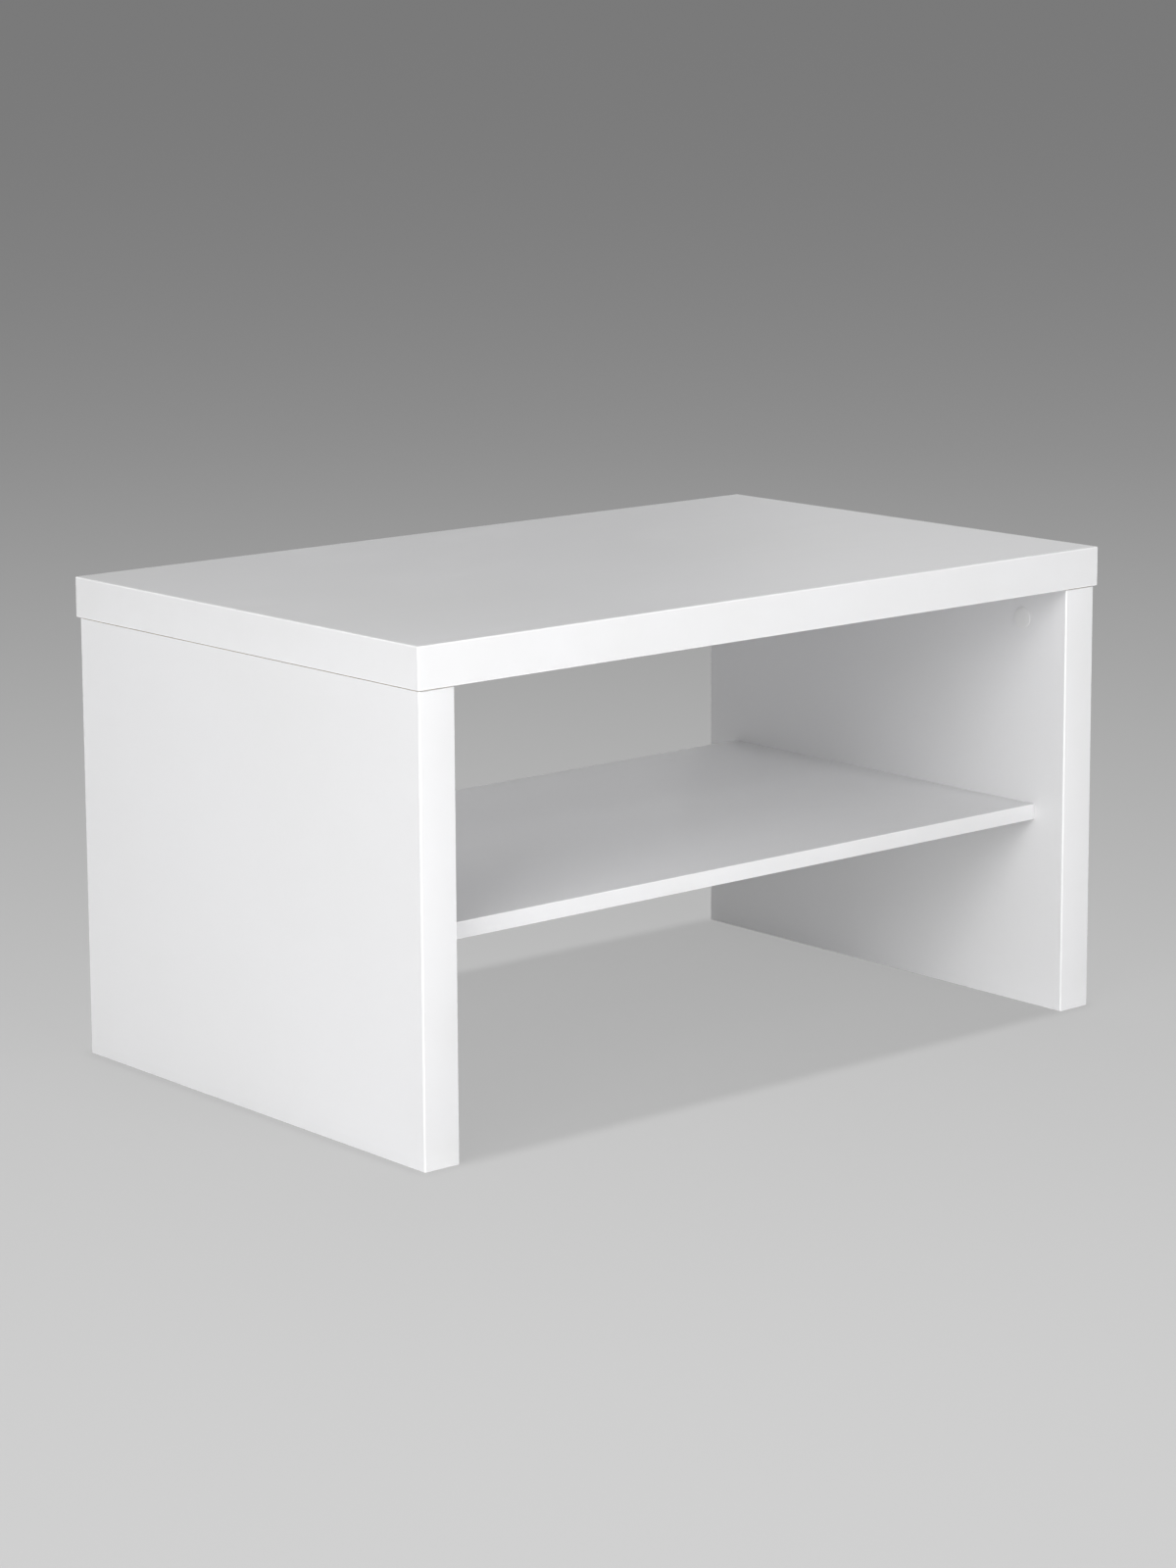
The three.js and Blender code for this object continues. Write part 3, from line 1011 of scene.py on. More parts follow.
@dataclass
class CamBolt:
    """The steel bolt: a screw thread, a collar, a shaft, a thin neck and a ball."""

    rule: GeometryRule
    sides: int = 48
    thread_radius: float = 3.0 * MM
    thread_length: float = 11.0 * MM
    tip_length: float = 1.6 * MM
    tip_share: float = 0.45
    thread_rows: int = 64
    head_steps: int = 16
    collar_radius: float = 3.7 * MM
    collar_height: float = 1.6 * MM
    shaft_radius: float = 2.75 * MM
    neck_radius: float = 2.1 * MM
    neck_start: float = 27.2 * MM
    reach: float = 36.0 * MM
    head_radius: float = 3.5 * MM
    ease: float = 0.2 * MM

    def profile(self) -> list[tuple[float, float]]:
        """Traces half of the bolt's outline.

        Returns:
            Radius and height pairs, from the tip to the ball.
        """
        radius = self.thread_radius
        shoulder = self.tip_length - self.thread_length
        row = (-self.ease - shoulder) / self.thread_rows
        points = [(0.0, -self.thread_length), (radius * self.tip_share, -self.thread_length)]
        points += [(radius, shoulder + row * step) for step in range(self.thread_rows + 1)]
        points += [
            (self.collar_radius - self.ease, 0.0),
            (self.collar_radius, self.ease),
            (self.collar_radius, self.collar_height - self.ease),
            (self.collar_radius - self.ease, self.collar_height),
            (self.shaft_radius, self.collar_height),
            (self.shaft_radius, self.neck_start - (self.shaft_radius - self.neck_radius)),
            (self.neck_radius, self.neck_start),
        ]
        first = math.pi - math.asin(self.neck_radius / self.head_radius)
        for step in range(self.head_steps):
            angle = first * (1.0 - step / self.head_steps)
            height = self.reach + self.head_radius * math.cos(angle)
            points.append((self.head_radius * math.sin(angle), height))
        points.append((0.0, self.reach + self.head_radius))
        return points

    def build(self, fitting: Fitting, finish: Finish) -> None:
        """Builds the bolt of one fitting.

        Args:
            fitting: where it goes.
            finish: its material.
        """
        node = f"bolt_{fitting.name}"
        blank = lathe_shape(self.profile(), self.sides)
        place = fitting.entry_place(node, self.thread_length)
        piece = self.rule.apply(f"finished_{node}", blank, place, finish)
        finish_piece(piece, finish, node, ROOT_BODY)


@dataclass
class Dowel:
    """The fluted beech dowel."""

    rule: GeometryRule
    sides: int = 96
    radius: float = 4.0 * MM
    length: float = 35.0 * MM
    buried: float = 12.0 * MM
    chamfer: float = 1.0 * MM

    def profile(self) -> list[tuple[float, float]]:
        """Traces half of the dowel's outline.

        Returns:
            Radius and height pairs, from end to end.
        """
        run_out = self.chamfer + 0.6 * MM
        half = [(0.0, 0.0), (self.radius - self.chamfer, 0.0), (self.radius, self.chamfer)]
        half.append((self.radius, run_out))
        low = [(radius, height - self.buried) for radius, height in half]
        high = [(radius, self.length - self.buried - height) for radius, height in reversed(half)]
        return low + high

    def build(self, fitting: Fitting, finish: Finish) -> None:
        """Builds the dowel of one fitting.

        Args:
            fitting: where it goes.
            finish: its material.
        """
        node = f"dowel_{fitting.name}"
        blank = lathe_shape(self.profile(), self.sides)
        piece = self.rule.apply(f"finished_{node}", blank, fitting.entry_place(node, self.buried), finish)
        finish_piece(piece, finish, node, ROOT_BODY)


@dataclass
class CamLock:
    """The die-cast cam: a round body with a hollow, a slot for the bolt and a screwdriver cross."""

    ease: float = 0.16 * MM
    flat_angle: float = 1.0
    sharp_angle: float = 35.0

    def build(self, fitting: Fitting, finish: Finish) -> None:
        """Eases a copy of the cam's own shape, with its doubles merged.

        Args:
            fitting: which cam.
            finish: its material.
        """
        node = fitting.cam_node
        shape = bmesh.new()
        shape.from_mesh(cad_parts[node].data)
        bmesh.ops.remove_doubles(shape, verts=shape.verts, dist=0.001 * MM)
        flat = math.radians(self.flat_angle)
        bmesh.ops.dissolve_limit(shape, angle_limit=flat, verts=shape.verts, edges=shape.edges)
        piece = make_object(f"finished_{node}", shape)
        bevel = piece.modifiers.new("ease", "BEVEL")
        bevel.width = self.ease
        bevel.segments = 2
        bevel.limit_method = "ANGLE"
        bevel.angle_limit = math.radians(self.sharp_angle)
        keep_result(piece)
        finish_piece(piece, finish, node, fitting.cam_node)


@dataclass
class CoverCap:
    """The round cap that hides a cam: a shallow dome with a rolled rim and a cross stem."""

    sides: int = 96
    radius: float = 11.0 * MM
    rim_height: float = 0.6 * MM
    crown: float = 1.5 * MM
    stem_length: float = 6.4 * MM
    stem_width: float = 0.9 * MM
    stem_depth: float = 2.3 * MM
    seat_gap: float = 0.1 * MM
    rim_inset: float = 0.15 * MM
    rim_lift: float = 0.12 * MM
    crown_steps: int = 10
    crown_fullness: float = 0.8

    def profile(self) -> list[tuple[float, float]]:
        """Traces half of the dome's outline.

        Returns:
            Radius and height pairs, from the seat's middle to the crown.
        """
        base = self.seat_gap
        rise = self.crown - self.rim_height
        rim = [(self.radius - self.rim_inset, base), (self.radius, base + self.rim_lift)]
        points = [(0.0, base), *rim]
        for step in range(self.crown_steps):
            angle = math.pi / 2 * step / self.crown_steps
            height = base + self.rim_height + rise * math.sin(angle) ** self.crown_fullness
            points.append((self.radius * math.cos(angle), height))
        points.append((0.0, base + self.crown))
        return points

    def build(self, fitting: Fitting, finish: Finish) -> None:
        """Builds the cap over one cam: the dome, and the two arms of its stem.

        Args:
            fitting: which cam.
            finish: its material.
        """
        node = fitting.cap_node
        place = fitting.cam_place()
        dome = lathe_shape(self.profile(), self.sides)
        dome.transform(place)
        piece = make_object(f"finished_{node}", dome)
        top = Vector((0.0, 0.0, self.seat_gap + self.rim_height / 2))
        half = Vector((self.stem_length / 2, self.stem_width / 2, 0.0))
        for reach in (half, half.yxz):
            arm = box_shape(-reach - Z_AXIS * self.stem_depth, reach + top)
            arm.transform(place)
            combine(piece, "UNION", [arm])
        finish_piece(piece, finish, node, fitting.cam_node)


# --------------------------------------------------------------------------- Boards and bands


@dataclass
class Bore:
    """A round hole drilled into a board."""

    mouth: Vector
    inward: Vector
    radius: float
    depth: float

    def cutter(self, sides: int = 48) -> Shape:
        """Makes the drill's shape, which starts just outside the board.

        Args:
            sides: how many sides the hole has.

        Returns:
            The closed shape.
        """
        run_out = 1.0 * MM
        drill = [(0.0, -run_out), (self.radius, -run_out), (self.radius, self.depth), (0.0, self.depth)]
        shape = lathe_shape(drill, sides)
        side = X_AXIS if abs(self.inward.x) < 0.5 else Y_AXIS
        shape.transform(stand_matrix(self.mouth, side, self.inward))
        return shape


@dataclass
class Drilling:
    """The holes that a line of fittings needs."""

    bolt: CamBolt
    dowel: Dowel
    cam_radius: float = 7.5 * MM
    cam_depth: float = 12.7 * MM
    bolt_radius: float = 4.0 * MM
    thread_radius: float = 3.3 * MM
    dowel_radius: float = 4.3 * MM
    end_room: float = 0.5 * MM

    def bores(self, fittings: Iterable[Fitting], holds_cams: bool) -> list[Bore]:
        """Lists the holes in one of the two boards that some fittings join.

        Args:
            fittings: the fittings.
            holds_cams: True for the board that holds the cams, False for the one that the bolts screw into.

        Returns:
            The holes.
        """
        found = []
        for fitting in fittings:
            bolt_place = fitting.entry_place(f"bolt_{fitting.name}", self.bolt.thread_length)
            dowel_place = fitting.entry_place(f"dowel_{fitting.name}", self.dowel.buried)
            inward = -fitting.into
            bolt_radius = self.thread_radius
            bolt_depth = self.bolt.thread_length + self.end_room
            dowel_depth = self.dowel.buried + self.end_room
            if holds_cams:
                inward = fitting.into
                bolt_radius = self.bolt_radius
                bolt_depth = self.bolt.reach
                dowel_depth = self.dowel.length - self.dowel.buried + self.end_room
                cam_mouth = fitting.cam_place().to_translation()
                found.append(Bore(cam_mouth, -fitting.cam_facing, self.cam_radius, self.cam_depth))
            found.append(Bore(bolt_place.to_translation(), inward, bolt_radius, bolt_depth))
            found.append(Bore(dowel_place.to_translation(), inward, self.dowel_radius, dowel_depth))
        return found


def both_at(level: float, axis: int, first: Vector, second: Vector) -> bool:
    """Says whether both ends of an edge lie at one level.

    Args:
        level: the level.
        axis: the axis that it is measured on.
        first: one end of the edge.
        second: its other end.

    Returns:
        True if they do.
    """
    return abs(first[axis] - level) < TINY and abs(second[axis] - level) < TINY


@dataclass
class Board:
    """One faced board: its skins' edges are eased, more so where it butts against another board."""

    node: str
    thickness_axis: int
    joint_axis: int
    bores: list[Bore]
    seam_ease: float = 0.12 * MM
    joint_ease: float = 0.3 * MM
    joint_groove: float = 0.0
    groove_depth: float = 4.0 * MM
    joint_ends: tuple[int, ...] = (1,)

    def build(self, finish: MelamineFinish) -> None:
        """Builds the board and drills it.

        Args:
            finish: the board finish.
        """
        low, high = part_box(self.node)
        shape = box_shape(low, high)
        across = self.thickness_axis
        butts = [high[self.joint_axis] if end > 0 else low[self.joint_axis] for end in self.joint_ends]
        flat_axes = [axis for axis in range(3) if axis != across]

        def at_joint(first: Vector, second: Vector) -> bool:
            """Picks the skins' edges that butt against another board.

            Args:
                first: one end of the edge.
                second: its other end.

            Returns:
                True for such an edge.
            """
            at_end = any(both_at(level, self.joint_axis, first, second) for level in butts)
            return at_end and abs(first[across] - second[across]) < TINY

        def on_skin_rim(first: Vector, second: Vector) -> bool:
            """Picks the straight rims of the skins that lie beside an edge band.

            Args:
                first: one end of the edge.
                second: its other end.

            Returns:
                True for such an edge.
            """
            on_skin = any(both_at(level, across, first, second) for level in (low[across], high[across]))
            rims = [(corner[axis], axis) for axis in flat_axes for corner in (low, high)]
            return on_skin and any(both_at(level, axis, first, second) for level, axis in rims)

        ease_edges(shape, at_joint, self.joint_ease, 2)
        ease_edges(shape, on_skin_rim, self.seam_ease, 1)
        piece = make_object(f"finished_{self.node}", shape)
        grooves = self.groove_cutters(low, high) if self.joint_groove else []
        combine(piece, "DIFFERENCE", grooves + [bore.cutter() for bore in self.bores])
        axis = Vector((0.0, 0.0, 0.0))
        axis[across] = 1.0
        middle = (low[across] + high[across]) / 2
        material = finish.make(self.node, axis, middle, high[across] - low[across])
        finish_piece(piece, material, self.node, ROOT_BODY)

    def groove_cutters(self, low: Vector, high: Vector) -> list[Shape]:
        """Makes the cutters that set the skins back a little from the board that they butt against.

        Args:
            low: the board's lowest corner.
            high: the board's highest corner.

        Returns:
            One cutter for each skin at each joint.
        """
        cutters = []
        run_out = Vector((1.0, 1.0, 1.0)) * MM
        for end in self.joint_ends:
            for side in (-1, 1):
                first = low - run_out
                last = high + run_out
                for axis, way, reach in (
                    (self.joint_axis, end, self.joint_groove),
                    (self.thickness_axis, side, self.groove_depth),
                ):
                    if way > 0:
                        first[axis] = high[axis] - reach
                    else:
                        last[axis] = low[axis] + reach
                cutters.append(box_shape(first, last))
        return cutters


class BandEnd(Enum):
    """How an edge band ends."""

    BUTTED = "butted"
    ROUNDED = "rounded"
    TRIMMED = "trimmed"


@dataclass
class EdgeBand:
    """A plastic strip on a board's edge, with its outer arrises trimmed round."""

    node: str
    outward: Vector
    along_axis: int
    rounding: float
    ends: BandEnd = BandEnd.BUTTED
    seam: float = 0.2 * MM
    end_trim: float = 0.35 * MM
    high_gap: float = 0.0
    steps: int = 6

    def build(self, finish: Finish) -> None:
        """Builds the band.

        Args:
            finish: its material.
        """
        low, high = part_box(self.node)
        along = self.along_axis
        high[along] -= self.high_gap
        shape = box_shape(low, high)
        levels = (low[along], high[along])
        face_axis = max(range(3), key=lambda axis: abs(self.outward[axis]))
        back, outer = low[face_axis], high[face_axis]
        if self.outward[face_axis] < 0:
            back, outer = outer, back

        def at_back(first: Vector, second: Vector) -> bool:
            """Picks the edges that lie against the board."""
            return both_at(back, face_axis, first, second)

        def at_end(first: Vector, second: Vector) -> bool:
            """Picks the edges round the ends, apart from those against the board."""
            return not at_back(first, second) and any(both_at(each, along, first, second) for each in levels)

        def runs_along(first: Vector, second: Vector) -> bool:
            """Picks the edges that run from end to end."""
            return abs(first[along] - second[along]) > TINY

        def is_rounded(first: Vector, second: Vector) -> bool:
            """Picks the outer arrises, and those of the ends that are rounded like them."""
            outside = both_at(outer, face_axis, first, second) and runs_along(first, second)
            return outside or (self.ends is BandEnd.ROUNDED and at_end(first, second))

        def is_seam(first: Vector, second: Vector) -> bool:
            """Picks the two long edges that lie against the board's skins."""
            return at_back(first, second) and runs_along(first, second)

        ease_edges(shape, is_rounded, self.rounding, self.steps)
        if self.ends is BandEnd.TRIMMED:
            ease_edges(shape, at_end, self.end_trim, 2)
        ease_edges(shape, is_seam, self.seam, 1)
        piece = make_object(f"finished_{self.node}", shape)
        mark_arrises(piece.data)
        finish_piece(piece, finish, self.node, ROOT_BODY)


# --------------------------------------------------------------------------- Sub-assemblies


@dataclass
class Hardware:
    """The kinds of fitting that the boards are drilled for."""

    bolt: CamBolt
    dowel: Dowel
    cam: CamLock
    cap: CoverCap
    drilling: Drilling


@dataclass
class Finishes:
    """Every finish on the table."""

    melamine: MelamineFinish
    band: Finish
    cap: Finish
    zinc: Finish
    steel: Finish
    beech_upright: Finish
    beech_level: Finish


@dataclass
class Assembly:
    """A part of the table, with what it is made of."""

    hardware: Hardware
    finishes: Finishes

    def add_band(self, node: str, outward: Vector, along_axis: int, **settings: object) -> None:
        """Builds one edge band.

        Args:
            node: its CAD node.
            outward: the way that it faces.
            along_axis: the axis that it runs along.
            **settings: the rest of what EdgeBand takes.
        """
        EdgeBand(node, outward, along_axis, **settings).build(self.finishes.band)

    def add_end_bands(self, prefix: str, along_axis: int, **settings: object) -> None:
        """Builds the front and the back band of a board.

        Args:
            prefix: how the names of their nodes begin.
            along_axis: the axis that they run along.
            **settings: the rest of what EdgeBand takes.
        """
        for end in End:
            self.add_band(f"{prefix}_{end.value}", Y_AXIS * end.sign, along_axis, **settings)


@dataclass
class TableTop(Assembly):
    """The thick top and the four bands round it."""

    rounding: float = 1.3 * MM

    def build(self) -> None:
        """Builds the board and its bands."""
        bores = self.hardware.drilling.bores(all_fittings(JointLine.TOP), holds_cams=False)
        board = Board("top_board", thickness_axis=2, joint_axis=0, bores=bores, joint_ends=())
        board.build(self.finishes.melamine)
        self.add_end_bands("top_band", 0, rounding=self.rounding, ends=BandEnd.ROUNDED)
        for side in Side:
            self.add_band(f"top_band_{side.value}", X_AXIS * side.sign, 1, rounding=self.rounding)


@dataclass
class SidePanel(Assembly):
    """One side panel with its front, back and foot bands."""

    side: Side
    rounding: float = 1.3 * MM
    foot_rounding: float = 0.5 * MM
    joint_groove: float = 1.1 * MM

    def build(self) -> None:
        """Builds the board and its bands."""
        bores = []
        for line in JointLine:
            fittings = [fitting for fitting in all_fittings(line) if fitting.side is self.side]
            bores += self.hardware.drilling.bores(fittings, holds_cams=line is JointLine.TOP)
        name = f"{self.side.value}_panel"
        groove = self.joint_groove
        board = Board(f"{name}_board", thickness_axis=0, joint_axis=2, bores=bores, joint_groove=groove)
        board.build(self.finishes.melamine)
        band = f"{name}_band"
        self.add_end_bands(band, 2, rounding=self.rounding, ends=BandEnd.TRIMMED, high_gap=groove)
        self.add_band(f"{band}_foot", -Z_AXIS, 1, rounding=self.foot_rounding)


@dataclass
class Shelf(Assembly):
    """The thin shelf and its two bands."""

    rounding: float = 0.6 * MM
    joint_ease: float = 0.4 * MM

    def build(self) -> None:
        """Builds the board and its bands."""
        bores = self.hardware.drilling.bores(all_fittings(JointLine.SHELF), holds_cams=True)
        ease = self.joint_ease
        both = (-1, 1)
        board = Board("shelf_board", 2, joint_axis=0, bores=bores, joint_ends=both, joint_ease=ease)
        board.build(self.finishes.melamine)
        self.add_end_bands("shelf_band", 0, rounding=self.rounding, ends=BandEnd.TRIMMED, end_trim=ease)


@dataclass
class JointFittings(Assembly):
    """All the cams, bolts, dowels and caps of one kind of joint."""

    line: JointLine

    def build(self) -> None:
        """Builds each fitting's pieces."""
        upright = self.line is JointLine.TOP
        beech = self.finishes.beech_upright if upright else self.finishes.beech_level
        for fitting in all_fittings(self.line):
            self.hardware.bolt.build(fitting, self.finishes.steel)
            self.hardware.dowel.build(fitting, beech)
            self.hardware.cam.build(fitting, self.finishes.zinc)
            if self.line is JointLine.TOP:
                self.hardware.cap.build(fitting, self.finishes.cap)


# --------------------------------------------------------------------------- Studio


def way_out(azimuth: float, elevation: float) -> Vector:
    """Gives the direction from the table towards something round it.

    Args:
        azimuth: degrees round from the front, towards the right.
        elevation: degrees up from the floor.

    Returns:
        The direction, one unit long.
    """
    turn = math.radians(azimuth)
    rise = math.radians(elevation)
    flat = math.cos(rise)
    return Vector((math.sin(turn) * flat, -math.cos(turn) * flat, math.sin(rise)))


@dataclass(frozen=True)
class SoftBox:
    """A square area light that faces a point."""

    name: str
    azimuth: float
    elevation: float
    distance: float
    size: float
    power: float

    def place(self, target: Vector) -> None:
        """Hangs the light.

        Args:
            target: the point that it faces.
        """
        light = bpy.data.lights.new(self.name, "AREA")
        light.shape = "SQUARE"
        light.size = self.size
        light.energy = self.power
        lamp = bpy.data.objects.new(self.name, light)
        outward = way_out(self.azimuth, self.elevation)
        lamp.location = target + outward * self.distance
        lamp.rotation_euler = outward.to_track_quat("Z", "Y").to_euler()
        bpy.context.scene.collection.objects.link(lamp)


@dataclass(frozen=True)
class PaintedLightPool:
    """A painted pool of light on the floor: an emitted grey, brightest at one point and falling off with
    distance from it.
    """

    centre: tuple[float, float] = (-0.937, -1.093)
    bright: float = 0.613
    far: float = 0.205
    reach: float = 3.15

    def wire_painted_light(self, wire: Wiring, place: Output) -> Output:
        """Adds the nodes that work out the painted light's grey.

        Args:
            wire: the floor material's wiring.
            place: the floor's coordinates.

        Returns:
            The grey's socket.
        """
        middle = (self.centre[0], self.centre[1], 0.0)
        away = wire.vectors("DISTANCE", {0: place, 1: middle})
        steps = wire.math("DIVIDE", away.outputs["Value"], self.reach)
        spread = wire.math("ADD", wire.math("POWER", steps, 2.0), 1.0)
        gain = wire.math("DIVIDE", self.bright - self.far, spread)
        return wire.math("ADD", gain, self.far)


@dataclass
class Studio:
    """The floor, the surrounding grey, the lights and the camera."""

    boxes: tuple[SoftBox, ...]
    pool: PaintedLightPool
    surround: float = 0.25
    backdrop_grey: float = 0.205
    floor_radius: float = 90.0
    floor_sides: int = 96
    bounce_drop: float = 1.0 * MM
    floor_white: float = 0.92
    floor_full_light: float = 2.4
    shadow_depth: float = 0.25
    overhead_sun: float = 5.0
    overhead_spread: float = 3.5
    overhead_height: float = 3.0
    light_target: tuple[float, float, float] = (0.0, 0.0, 0.25)
    camera_azimuth: float = -40.62
    camera_elevation: float = 9.62
    camera_distance: float = 4.0216
    camera_roll: float = -0.3
    camera_aim: tuple[float, float, float] = (-0.012, 0.0, 0.4147)
    camera_lens: float = 92.6
    camera_shift: float = -0.1
    camera_sight: float = 200.0

    def build(self) -> None:
        """Sets the whole studio up."""
        bpy.context.scene.view_settings.view_transform = "Standard"
        self.build_surround()
        self.build_floor()
        for box in self.boxes:
            box.place(Vector(self.light_target))
        self.build_camera()

    def build_surround(self) -> None:
        """Lights the scene evenly from all round, and shows a plain grey beyond the floor."""
        world = bpy.data.worlds.new("studio")
        world.use_nodes = True
        world.node_tree.nodes.clear()
        wire = Wiring(world.node_tree)
        fill = wire.add("ShaderNodeBackground", {"Color": (1, 1, 1, 1), "Strength": self.surround})
        seen = wire.add("ShaderNodeBackground", {"Color": (1, 1, 1, 1), "Strength": self.backdrop_grey})
        path = wire.add("ShaderNodeLightPath")
        choice = {0: path.outputs["Is Camera Ray"], 1: fill.outputs[0], 2: seen.outputs[0]}
        mixed = wire.add("ShaderNodeMixShader", choice)
        wire.add("ShaderNodeOutputWorld", {"Surface": mixed.outputs[0]})
        bpy.context.scene.world = world

    def build_floor(self) -> None:
        """Lays the pale floor in two sheets: one is seen and glows with a painted pool of light, and one
        gives its white light back.
        """
        seen = self.lay_sheet("floor", 0.0, self.seen_floor())
        seen.visible_shadow = False
        seen.visible_diffuse = False
        seen.visible_glossy = False
        seen.visible_transmission = False
        self.hang_floor_light(seen)
        white, wire = new_material("white_floor")
        plain = wire.add("ShaderNodeBsdfDiffuse", {"Color": (self.floor_white,) * 3 + (1.0,)})
        wire.add("ShaderNodeOutputMaterial", {"Surface": plain.outputs[0]})
        self.lay_sheet("floor_bounce", -self.bounce_drop, white).visible_camera = False

    def lay_sheet(self, name: str, height: float, material: bpy.types.Material) -> Piece:
        """Lays one sheet of the floor.

        Args:
            name: what it is called.
            height: how high it lies.
            material: what it is covered with.

        Returns:
            The sheet.
        """
        shape = bmesh.new()
        level = Matrix.Translation((0.0, 0.0, height))
        radius, sides = self.floor_radius, self.floor_sides
        bmesh.ops.create_circle(shape, cap_ends=True, radius=radius, segments=sides, matrix=level)
        sheet = make_object(name, shape)
        sheet.data.materials.append(material)
        return sheet

    def seen_floor(self) -> bpy.types.Material:
        """Makes the floor's look: a painted pool of light, mostly emitted grey, that the lamps' real shadows
        darken in part, and nothing from below.

        Returns:
            The material.
        """
        material, wire = new_material("painted_light_floor")
        place = wire.add("ShaderNodeTexCoord").outputs["Object"]
        grey = self.pool.wire_painted_light(wire, place)
        # Painted light: most of the floor's grey glows as emission, a pool of light painted on the floor;
        # the diffuse rest follows the same painted pool and takes the lamps' real shadows.
        painted_glow = wire.math("MULTIPLY", grey, 1.0 - self.shadow_depth)
        painted_glow_shader = wire.add("ShaderNodeEmission", {"Color": (1, 1, 1, 1), "Strength": painted_glow})
        lit_grey = wire.math("MULTIPLY", grey, self.shadow_depth / self.floor_full_light)
        tint = wire.add("ShaderNodeCombineColor", {0: lit_grey, 1: lit_grey, 2: lit_grey})
        shaded = wire.add("ShaderNodeBsdfDiffuse", {"Color": tint.outputs[0]})
        above = wire.add("ShaderNodeAddShader", {0: painted_glow_shader.outputs[0], 1: shaded.outputs[0]})
        below = wire.add("ShaderNodeBsdfTransparent")
        side = wire.add("ShaderNodeNewGeometry").outputs["Backfacing"]
        mixed = wire.add("ShaderNodeMixShader", {0: side, 1: above.outputs[0], 2: below.outputs[0]})
        wire.add("ShaderNodeOutputMaterial", {"Surface": mixed.outputs[0]})
        return material

    def hang_floor_light(self, floor: Piece) -> None:
        """Hangs a light straight overhead that only draws the table's soft shadow on the floor.

        Args:
            floor: the one object that it lights.
        """
        light = bpy.data.lights.new("floor_light", "SUN")
        light.energy = self.overhead_sun
        light.angle = math.radians(self.overhead_spread)
        lamp = bpy.data.objects.new("floor_light", light)
        lamp.location = (0.0, 0.0, self.overhead_height)
        bpy.context.scene.collection.objects.link(lamp)
        lit = bpy.data.collections.new("lit_floor")
        lit.objects.link(floor)
        lamp.light_linking.receiver_collection = lit

    def build_camera(self) -> None:
        """Sets the camera."""
        data = bpy.data.cameras.new("camera")
        data.lens = self.camera_lens
        data.shift_y = self.camera_shift
        data.clip_end = self.camera_sight
        camera = bpy.data.objects.new("camera", data)
        back = way_out(self.camera_azimuth, self.camera_elevation)
        right = (-back).cross(Z_AXIS).normalized()
        up = right.cross(-back)
        roll = math.radians(self.camera_roll)
        rolled_right = right * math.cos(roll) + up * math.sin(roll)
        rolled_up = up * math.cos(roll) - right * math.sin(roll)
        turn = Matrix((rolled_right, rolled_up, back)).transposed().to_4x4()
        location = Vector(self.camera_aim) + back * self.camera_distance
        camera.matrix_world = Matrix.Translation(location) @ turn
        bpy.context.scene.collection.objects.link(camera)
        bpy.context.scene.camera = camera


STUDIO_BOXES = (
    SoftBox("front_box", azimuth=0, elevation=25, distance=5.5, size=2.4, power=134),
    SoftBox("key_box", azimuth=-60, elevation=25, distance=3.5, size=1.2, power=26),
    SoftBox("low_key_box", azimuth=-50, elevation=10, distance=3.5, size=1.2, power=8),
    SoftBox("left_box", azimuth=-75, elevation=20, distance=3.5, size=1.2, power=18),
    SoftBox("low_left_box", azimuth=-75, elevation=5, distance=3.5, size=1.2, power=11),
    SoftBox("back_box", azimuth=160, elevation=45, distance=3.5, size=2.0, power=16.5),
    SoftBox("right_back_box", azimuth=120, elevation=30, distance=4.0, size=2.0, power=14.5),
)


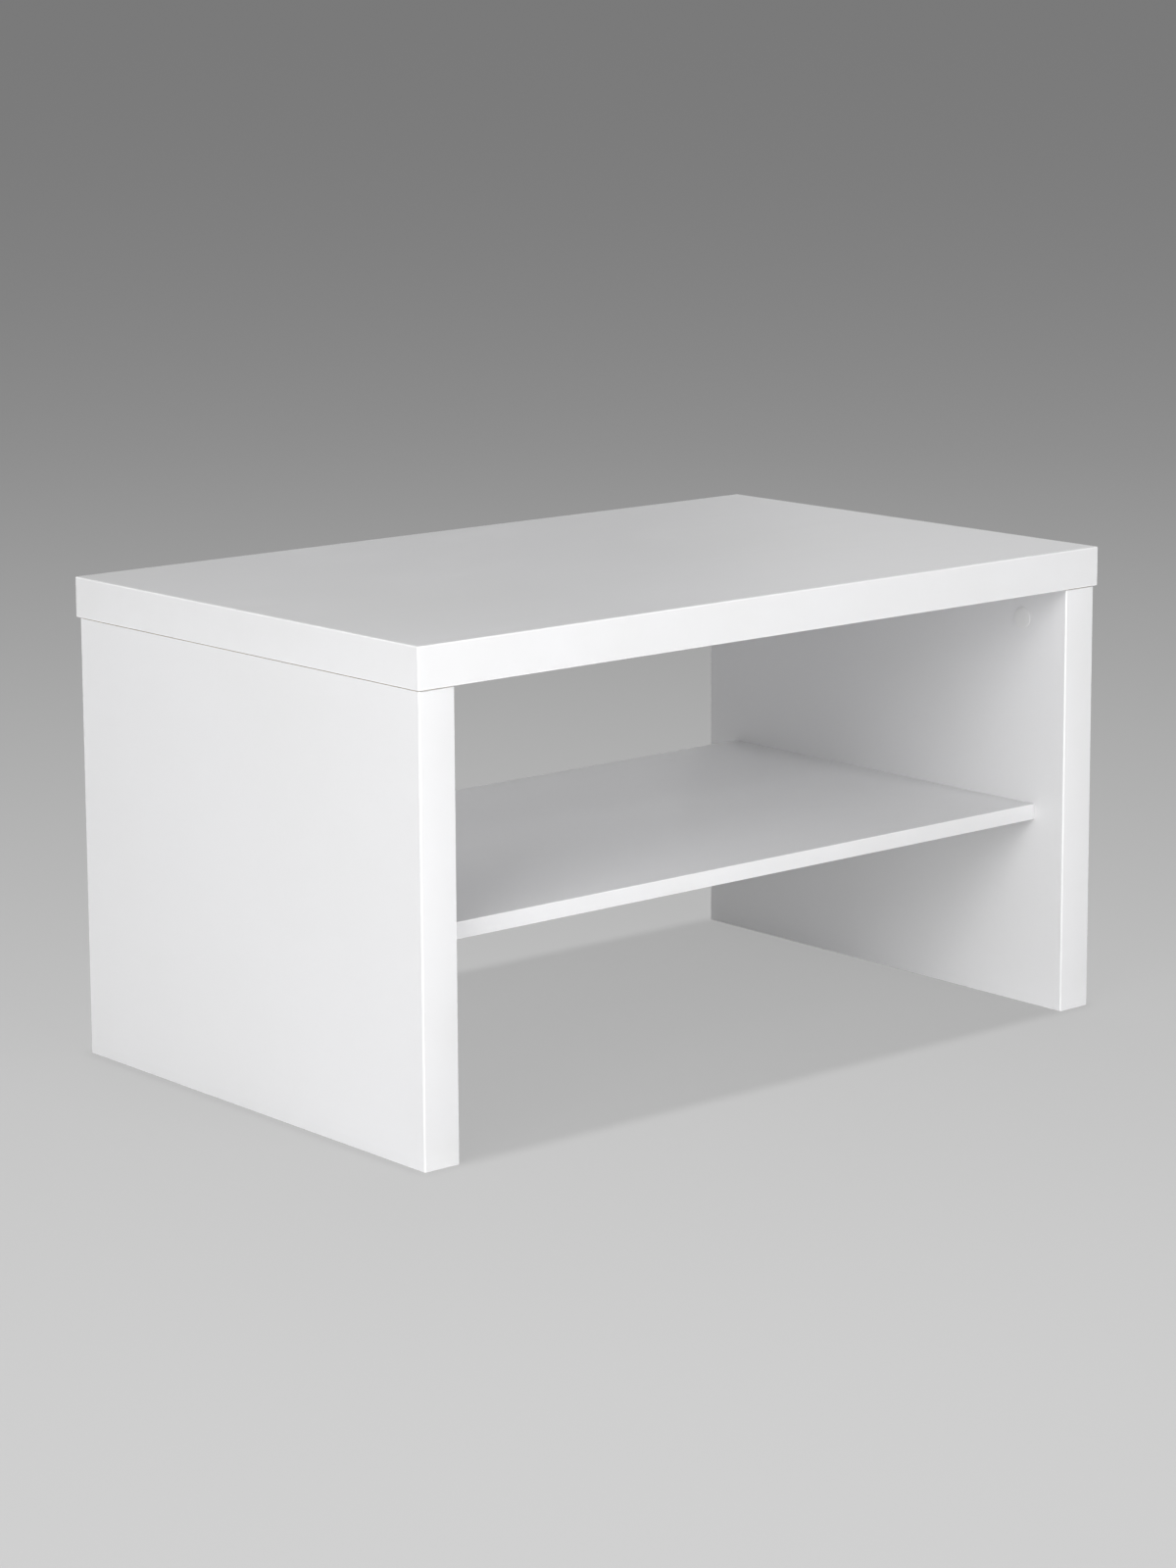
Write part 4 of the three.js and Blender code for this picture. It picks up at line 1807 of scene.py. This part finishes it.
def make_finishes() -> Finishes:
    """Makes every finish once.

    Returns:
        The finishes.
    """
    effects = SurfaceEffects()
    beech = BeechFinish(effects)
    band = PlasticFinish(
        effects,
        "edge_band",
        colour=(0.81, 0.81, 0.82, 1.0),
        shade=(0.795, 0.795, 0.80, 1.0),
        roughness=0.3,
        cell=0.5 * MM,
        depth=0.006 * MM,
    )
    cap = PlasticFinish(
        effects,
        "cover_cap",
        colour=(0.80, 0.80, 0.80, 1.0),
        shade=(0.78, 0.78, 0.78, 1.0),
        roughness=0.34,
        cell=0.35 * MM,
        depth=0.008 * MM,
    )
    zinc = MetalFinish(
        effects,
        "cast_zinc",
        bright=(0.60, 0.61, 0.63, 1.0),
        dull=(0.42, 0.43, 0.45, 1.0),
        roughness=0.38,
        grain=0.3 * MM,
        depth=0.02 * MM,
    )
    steel = MetalFinish(
        effects,
        "plated_steel",
        bright=(0.72, 0.70, 0.64, 1.0),
        dull=(0.55, 0.53, 0.47, 1.0),
        roughness=0.25,
        grain=0.2 * MM,
        depth=0.004 * MM,
    )
    return Finishes(
        melamine=MelamineFinish(effects),
        band=band.make(),
        cap=cap.make(),
        zinc=zinc.make(),
        steel=steel.make(),
        beech_upright=beech.make("beech_upright", Z_AXIS),
        beech_level=beech.make("beech_level", X_AXIS),
    )


def make_hardware() -> Hardware:
    """Settles the kinds of fitting.

    Returns:
        The hardware.
    """
    thread = {"Pitch": 2.2 * MM, "Bite": 0.75 * MM, "Start": -10.9 * MM, "End": -0.4 * MM}
    flutes = {"Flutes": 24.0, "Depth": 0.35 * MM, "Start": -10.5 * MM, "End": 21.5 * MM}
    bolt = CamBolt(GeometryRule(radial_tree("rolled_thread", ("Pitch", "Bite"), thread_sink), thread))
    dowel = Dowel(GeometryRule(radial_tree("pressed_flutes", ("Flutes", "Depth"), flute_sink), flutes))
    return Hardware(bolt, dowel, CamLock(), CoverCap(), Drilling(bolt, dowel))


def main() -> None:
    """Builds the table and its studio."""
    logging.basicConfig(level=logging.INFO, format="%(name)s: %(message)s")
    finishes = make_finishes()
    hardware = make_hardware()
    TableTop(hardware, finishes).build()
    for side in Side:
        SidePanel(hardware, finishes, side).build()
    Shelf(hardware, finishes).build()
    for line in JointLine:
        JointFittings(hardware, finishes, line).build()
    Studio(STUDIO_BOXES, PaintedLightPool()).build()
    bpy.context.view_layer.update()


if __name__ == "__main__":
    main()
